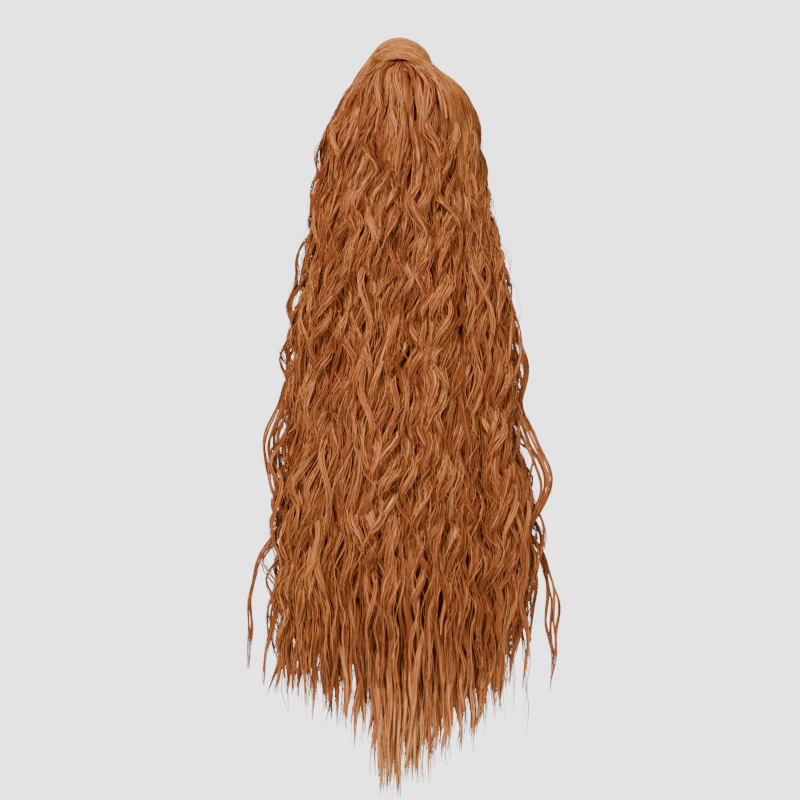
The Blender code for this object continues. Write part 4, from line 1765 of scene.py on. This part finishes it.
@dataclass
class WoundLock:
    """The smooth lock that goes once round the base, hides the band and joins the tail's right side."""

    base: Base
    fall: Fall
    seed: int = 77
    foot_half_width: float = 0.0085
    foot_half_thickness: float = 0.0035
    ring_parts: int = 9
    joining_parts: int = 7
    first_turn: float = -106.0

    def build_body(self, finish: bpy.types.Material) -> None:
        """Model the mass of the lock from a merged copy of its solid.

        Args:
            finish: Its material.
        """
        body = merged_copy("wrap_lock", "wrap_under_body")
        bpy.ops.transform.shrink_fatten(value=-0.0015)
        bpy.ops.object.mode_set(mode="OBJECT")
        bpy.ops.object.shade_smooth()
        offset = read_points(body.data) - self.base.centre
        turn = np.arctan2(offset[:, 0], offset @ self.base.up)
        mark_mass(body.data, offset @ self.base.axis, 0.022 * np.abs(turn))
        hand_over(body, Slot.WRAP, finish, "wrap_lock")

    def ring_line(self, turn: np.ndarray, seat: np.ndarray) -> tuple[np.ndarray, np.ndarray, np.ndarray]:
        """Place a line on the lock's outer face, from its spread foot over the top.

        Args:
            turn: Angles round the band in degrees, from the foot.
            seat: Where the line lies across the lock, from -1 on the head's side to 1.

        Returns:
            The points, the directions out of the face and the lock's half width.
        """
        base = self.base
        foot = smooth_table(WRAP_FOOT, turn)
        on_ring = ease((turn + 62.0) / 40.0)
        spread = (1.0 - on_ring) * foot[:, 3]
        wide = spread * self.foot_half_width + on_ring * base.wrap_width / 2.0
        thick = spread * self.foot_half_thickness + on_ring * base.wrap_thickness / 2.0
        out, down = (np.where(turn > -30.0, 0.0, foot[:, column]) * base.wrap_width for column in (1, 2))
        bulge = np.sqrt(np.clip(1.0 - 0.72 * seat**4, 0.05, 1.0))
        radius = base.wrap_radius + out + thick * (2.0 * bulge - 1.0) - 0.0006
        path = base.point(np.radians(turn), radius, down + 0.86 * wide * seat)
        beyond = base.point(np.radians(turn), radius + 0.01, down + (0.86 * wide + 0.006) * seat)
        return path, unit(beyond - path), wide

    def guide(self, share: float, slant: float, phase: float, last: float, tone: float) -> Guide:
        """Run one part of the lock round the band.

        Args:
            share: Where the part lies across the lock, from -1 to 1.
            slant: How far it crosses the lock on its way round.
            phase: Where its slow sway starts.
            last: The angle where it ends, in degrees.
            tone: Its tone.

        Returns:
            The part's middle line.
        """
        steps = 62
        part = np.linspace(0.0, 1.0, steps)
        turn = self.first_turn + (last - self.first_turn) * part
        seat = np.clip(share + slant * np.sin(1.6 * math.pi * part + phase), -0.98, 0.98)
        path, outward, wide = self.ring_line(turn, seat)
        close = (0.30 + 0.70 * ease(part / 0.12)) * (0.4 + 0.6 * ease((1.0 - part) / 0.1))
        half_width = 0.0036 * close * (0.75 + 0.25 * wide / (self.base.wrap_width / 2.0))
        return Guide(
            path=path,
            sway=np.zeros((steps, 3)),
            outward=outward,
            half_width=half_width,
            half_thickness=0.34 * half_width,
            along=np.zeros(steps),
            twist=0.15 * np.sin(5.0 * part + phase),
            tone=np.full(steps, tone),
        )

    def joining_guide(self, number: int, draw: np.random.Generator) -> Guide:
        """Run one part over the band's front edge and down the tail's right side.

        Args:
            number: The part's number, from the outermost.
            draw: The random numbers to use.

        Returns:
            The part's middle line.
        """
        share = number / (self.joining_parts - 1)
        turn = np.linspace(-100.0, 34.0 + 26.0 * (1.0 - share), 14)
        seat = 0.78 + 0.42 * share + 0.06 * np.sin(np.radians(turn) + draw.uniform(*PHASES))
        ring, face, _ = self.ring_line(turn, np.minimum(seat, 1.0))
        ring = ring + (np.maximum(seat - 1.0, 0.0) * 0.010)[:, None] * self.base.axis
        drops = np.array((0.062, 0.082, 0.105, 0.130, 0.160, 0.192, 0.230)) + 0.008 * share
        angle = 0.22 + 0.62 * share + 0.05 * np.sin(20.0 * drops + draw.uniform(*PHASES))
        below, outward, _, _ = self.fall.place(angle, drops, True)
        below = below + (0.0008 - 0.009 * ease((drops - 0.15) / 0.08))[:, None] * outward
        path = smooth_line(np.concatenate((ring, below)), 0.0058)
        part = np.linspace(0.0, 1.0, len(path))
        known = np.linspace(0.0, 1.0, len(turn) + len(drops))
        facing = smooth_table(np.column_stack((known, np.concatenate((face, outward)))), part)
        phase = 2.0 * math.pi * part * draw.uniform(3.2, 4.6) + draw.uniform(*PHASES)
        sway = swing(0.0022 * ease((part - 0.45) / 0.4), phase, 0.5)
        close = (0.30 + 0.70 * ease(part / 0.12)) * (0.3 + 0.7 * ease((1.0 - part) / 0.25))
        half_width = draw.uniform(0.0030, 0.0042) * close * (1.0 + 0.25 * ease((part - 0.3) / 0.3))
        return Guide(
            path=path + sway,
            sway=sway,
            outward=unit(facing[:, 1:]),
            half_width=half_width,
            half_thickness=0.36 * half_width,
            along=np.zeros(len(path)),
            twist=0.15 * np.sin(5.0 * part + phase[0]),
            tone=draw.normal(0.50, 0.10) - 0.34 * ease((part - 0.28) / 0.30),
        )

    def build(self) -> None:
        """Build the lock's mass and the parts that are laid over it."""
        mass = WRAP_MASS.make()
        self.build_body(mass)
        draw = np.random.default_rng(self.seed)
        layer = LockLayer("wrap", self.seed, hair_radius=0.00040, ribbon_sides=6)
        seats = np.linspace(-0.97, 0.97, self.ring_parts)
        for seat in seats[draw.permutation(len(seats))]:
            tone = draw.normal(0.50, 0.17)
            phase = draw.uniform(*PHASES)
            guide = self.guide(float(seat), 0.26, phase, draw.uniform(225.0, 252.0), tone)
            layer.lay_lock(guide, 12, 0.0005)
        for number in range(self.joining_parts):
            layer.lay_lock(self.joining_guide(number, draw), 11, 0.0007)
        layer.finish(Slot.WRAP, (mass, WRAP_HAIRS.make()), "wrap_lock")


@dataclass
class Band:
    """The sewn band inside the wound lock, padded outside up to the hair."""

    base: Base
    padding: float = 0.0014

    def build(self) -> None:
        """Model the band as a tube with rolled rims and dress it."""
        base = self.base
        deselect()
        turn = math.pi / 2.0 + base.tilt
        wall = base.band_wall + self.padding
        outer = base.bore_radius + wall
        bpy.ops.mesh.primitive_cylinder_add(
            vertices=72,
            radius=outer,
            depth=base.band_length,
            end_fill_type="NGON",
            location=tuple(base.centre),
            rotation=(turn, 0.0, 0.0),
        )
        band = bpy.context.object
        band.name = "sewn_band"
        band.data.name = band.name
        bpy.ops.object.transform_apply(location=True, rotation=True, scale=True)
        bpy.ops.object.mode_set(mode="EDIT")
        bpy.ops.mesh.select_mode(type="FACE")
        bpy.ops.mesh.select_all(action="DESELECT")
        bpy.ops.object.mode_set(mode="OBJECT")
        for face in band.data.polygons:
            face.select = len(face.vertices) > 4
        bpy.ops.object.mode_set(mode="EDIT")
        bpy.ops.mesh.inset(thickness=wall, depth=0.0)
        bpy.ops.mesh.bridge_edge_loops()
        bpy.ops.mesh.select_all(action="SELECT")
        bpy.ops.mesh.normals_make_consistent(inside=False)
        bpy.ops.object.mode_set(mode="OBJECT")
        apply_modifier(band, "BEVEL", "rolled_rims", width=0.0007, segments=3, limit_method="ANGLE")
        activate(band)
        bpy.ops.object.shade_smooth_by_angle(angle=SMOOTH)
        hand_over(band, Slot.BAND, KnitFinish().make(), "base_band")


@dataclass
class Comb:
    """The toothed comb that pins the base into gathered hair."""

    def build(self) -> None:
        """Round the comb's edges on a merged copy of its solid and dress it."""
        comb = merged_copy("comb", "moulded_comb")
        bpy.ops.mesh.tris_convert_to_quads()
        bpy.ops.object.mode_set(mode="OBJECT")
        apply_modifier(comb, "BEVEL", "rounded", width=0.00022, segments=3, limit_method="ANGLE")
        activate(comb)
        bpy.ops.object.shade_smooth_by_angle(angle=SMOOTH)
        hand_over(comb, Slot.COMB, CombFinish().make(), "comb")


class LightRow(NamedTuple):
    """One soft light: its name, its place, its side, its power and its colour."""

    name: str
    place: tuple[float, float, float]
    size: float
    watts: float
    tint: tuple[float, float, float]


LIGHTS = (
    LightRow("key", (-0.9, -2.0, 1.3), 0.6, 92.0, (1.0, 0.98, 0.95)),
    LightRow("fill", (1.7, -1.5, 0.3), 1.2, 22.0, (0.97, 0.98, 1.0)),
    LightRow("top", (0.2, 0.9, 1.5), 0.9, 12.0, (1.0, 1.0, 1.0)),
)


@dataclass
class Studio:
    """The pale floor, the soft lights and the camera straight behind the wearer."""

    metres_per_pixel: float = 0.00082
    pixels: int = 800
    anchor_row: int = 62
    lens: float = 150.0
    sensor: float = 36.0
    floor_level: float = -0.80
    floor_radius: float = 1.45
    surround: float = 0.63
    backdrop: float = 3.0
    tail_depth: float = -0.06

    def build_floor(self) -> None:
        """Lay a pale round floor under the hanging tail."""
        deselect()
        place = (0.0, self.tail_depth, self.floor_level)
        bpy.ops.mesh.primitive_circle_add(
            vertices=96, radius=self.floor_radius, fill_type="NGON", location=place
        )
        floor = bpy.context.object
        floor.name = "pale_floor"
        nodes = Nodes.start("pale_floor")
        nodes.shader.inputs["Base Color"].default_value = (0.86, 0.86, 0.85, 1.0)
        nodes.shader.inputs["Roughness"].default_value = 0.8
        floor.data.materials.append(nodes.material)

    def add_light(self, row: LightRow) -> None:
        """Hang a soft square light that faces the tail.

        Args:
            row: The light's row.
        """
        lamp = bpy.data.lights.new(row.name, "AREA")
        lamp.shape = "SQUARE"
        lamp.size = row.size
        lamp.energy = row.watts
        lamp.color = row.tint
        item = bpy.data.objects.new(row.name, lamp)
        item.location = row.place
        aim = unit(np.array((0.0, self.tail_depth, -0.25)) - np.array(row.place))
        pitch = math.acos(-aim[2])
        yaw = math.atan2(aim[0], -aim[1])
        item.rotation_euler = (pitch, 0.0, math.pi + yaw)
        bpy.context.scene.collection.objects.link(item)

    def build_lights(self) -> None:
        """Light the tail softly from the camera's side and from above."""
        world = bpy.data.worlds.new("soft_white")
        world.use_nodes = True
        tree = world.node_tree
        back = tree.nodes["Background"]
        view = tree.nodes.new("ShaderNodeBackground")
        for node, strength in ((back, self.surround), (view, self.backdrop)):
            node.inputs[0].default_value = WHITE
            node.inputs[1].default_value = strength
        rays = tree.nodes.new("ShaderNodeLightPath")
        choice = tree.nodes.new("ShaderNodeMixShader")
        tree.links.new(rays.outputs["Is Camera Ray"], choice.inputs[0])
        tree.links.new(back.outputs[0], choice.inputs[1])
        tree.links.new(view.outputs[0], choice.inputs[2])
        tree.links.new(choice.outputs[0], tree.nodes["World Output"].inputs[0])
        bpy.context.scene.world = world
        for row in LIGHTS:
            self.add_light(row)

    def build_camera(self) -> None:
        """Set the camera so that a pixel is the photograph's size at the tail."""
        width = self.metres_per_pixel * self.pixels
        away = self.lens * width / self.sensor
        lens = bpy.data.cameras.new("from_behind")
        lens.lens = self.lens
        lens.sensor_width = self.sensor
        lens.clip_end = 50.0
        camera = bpy.data.objects.new("from_behind", lens)
        middle = (self.anchor_row - self.pixels / 2.0) * self.metres_per_pixel
        camera.location = (0.0, self.tail_depth - away, middle)
        camera.rotation_euler = (math.pi / 2.0, 0.0, 0.0)
        bpy.context.scene.collection.objects.link(camera)
        bpy.context.scene.camera = camera

    def build(self) -> None:
        """Set up the studio."""
        self.build_floor()
        self.build_lights()
        self.build_camera()


def main() -> None:
    """Build the studio and the hair extension, piece by piece."""
    logging.basicConfig(level=logging.INFO, format="%(message)s")
    base = Base()
    Studio().build()
    Band(base).build()
    Comb().build()
    fall = Fall(base)
    WoundLock(base, fall).build()
    Tail(fall).build()


if __name__ == "__main__":
    main()
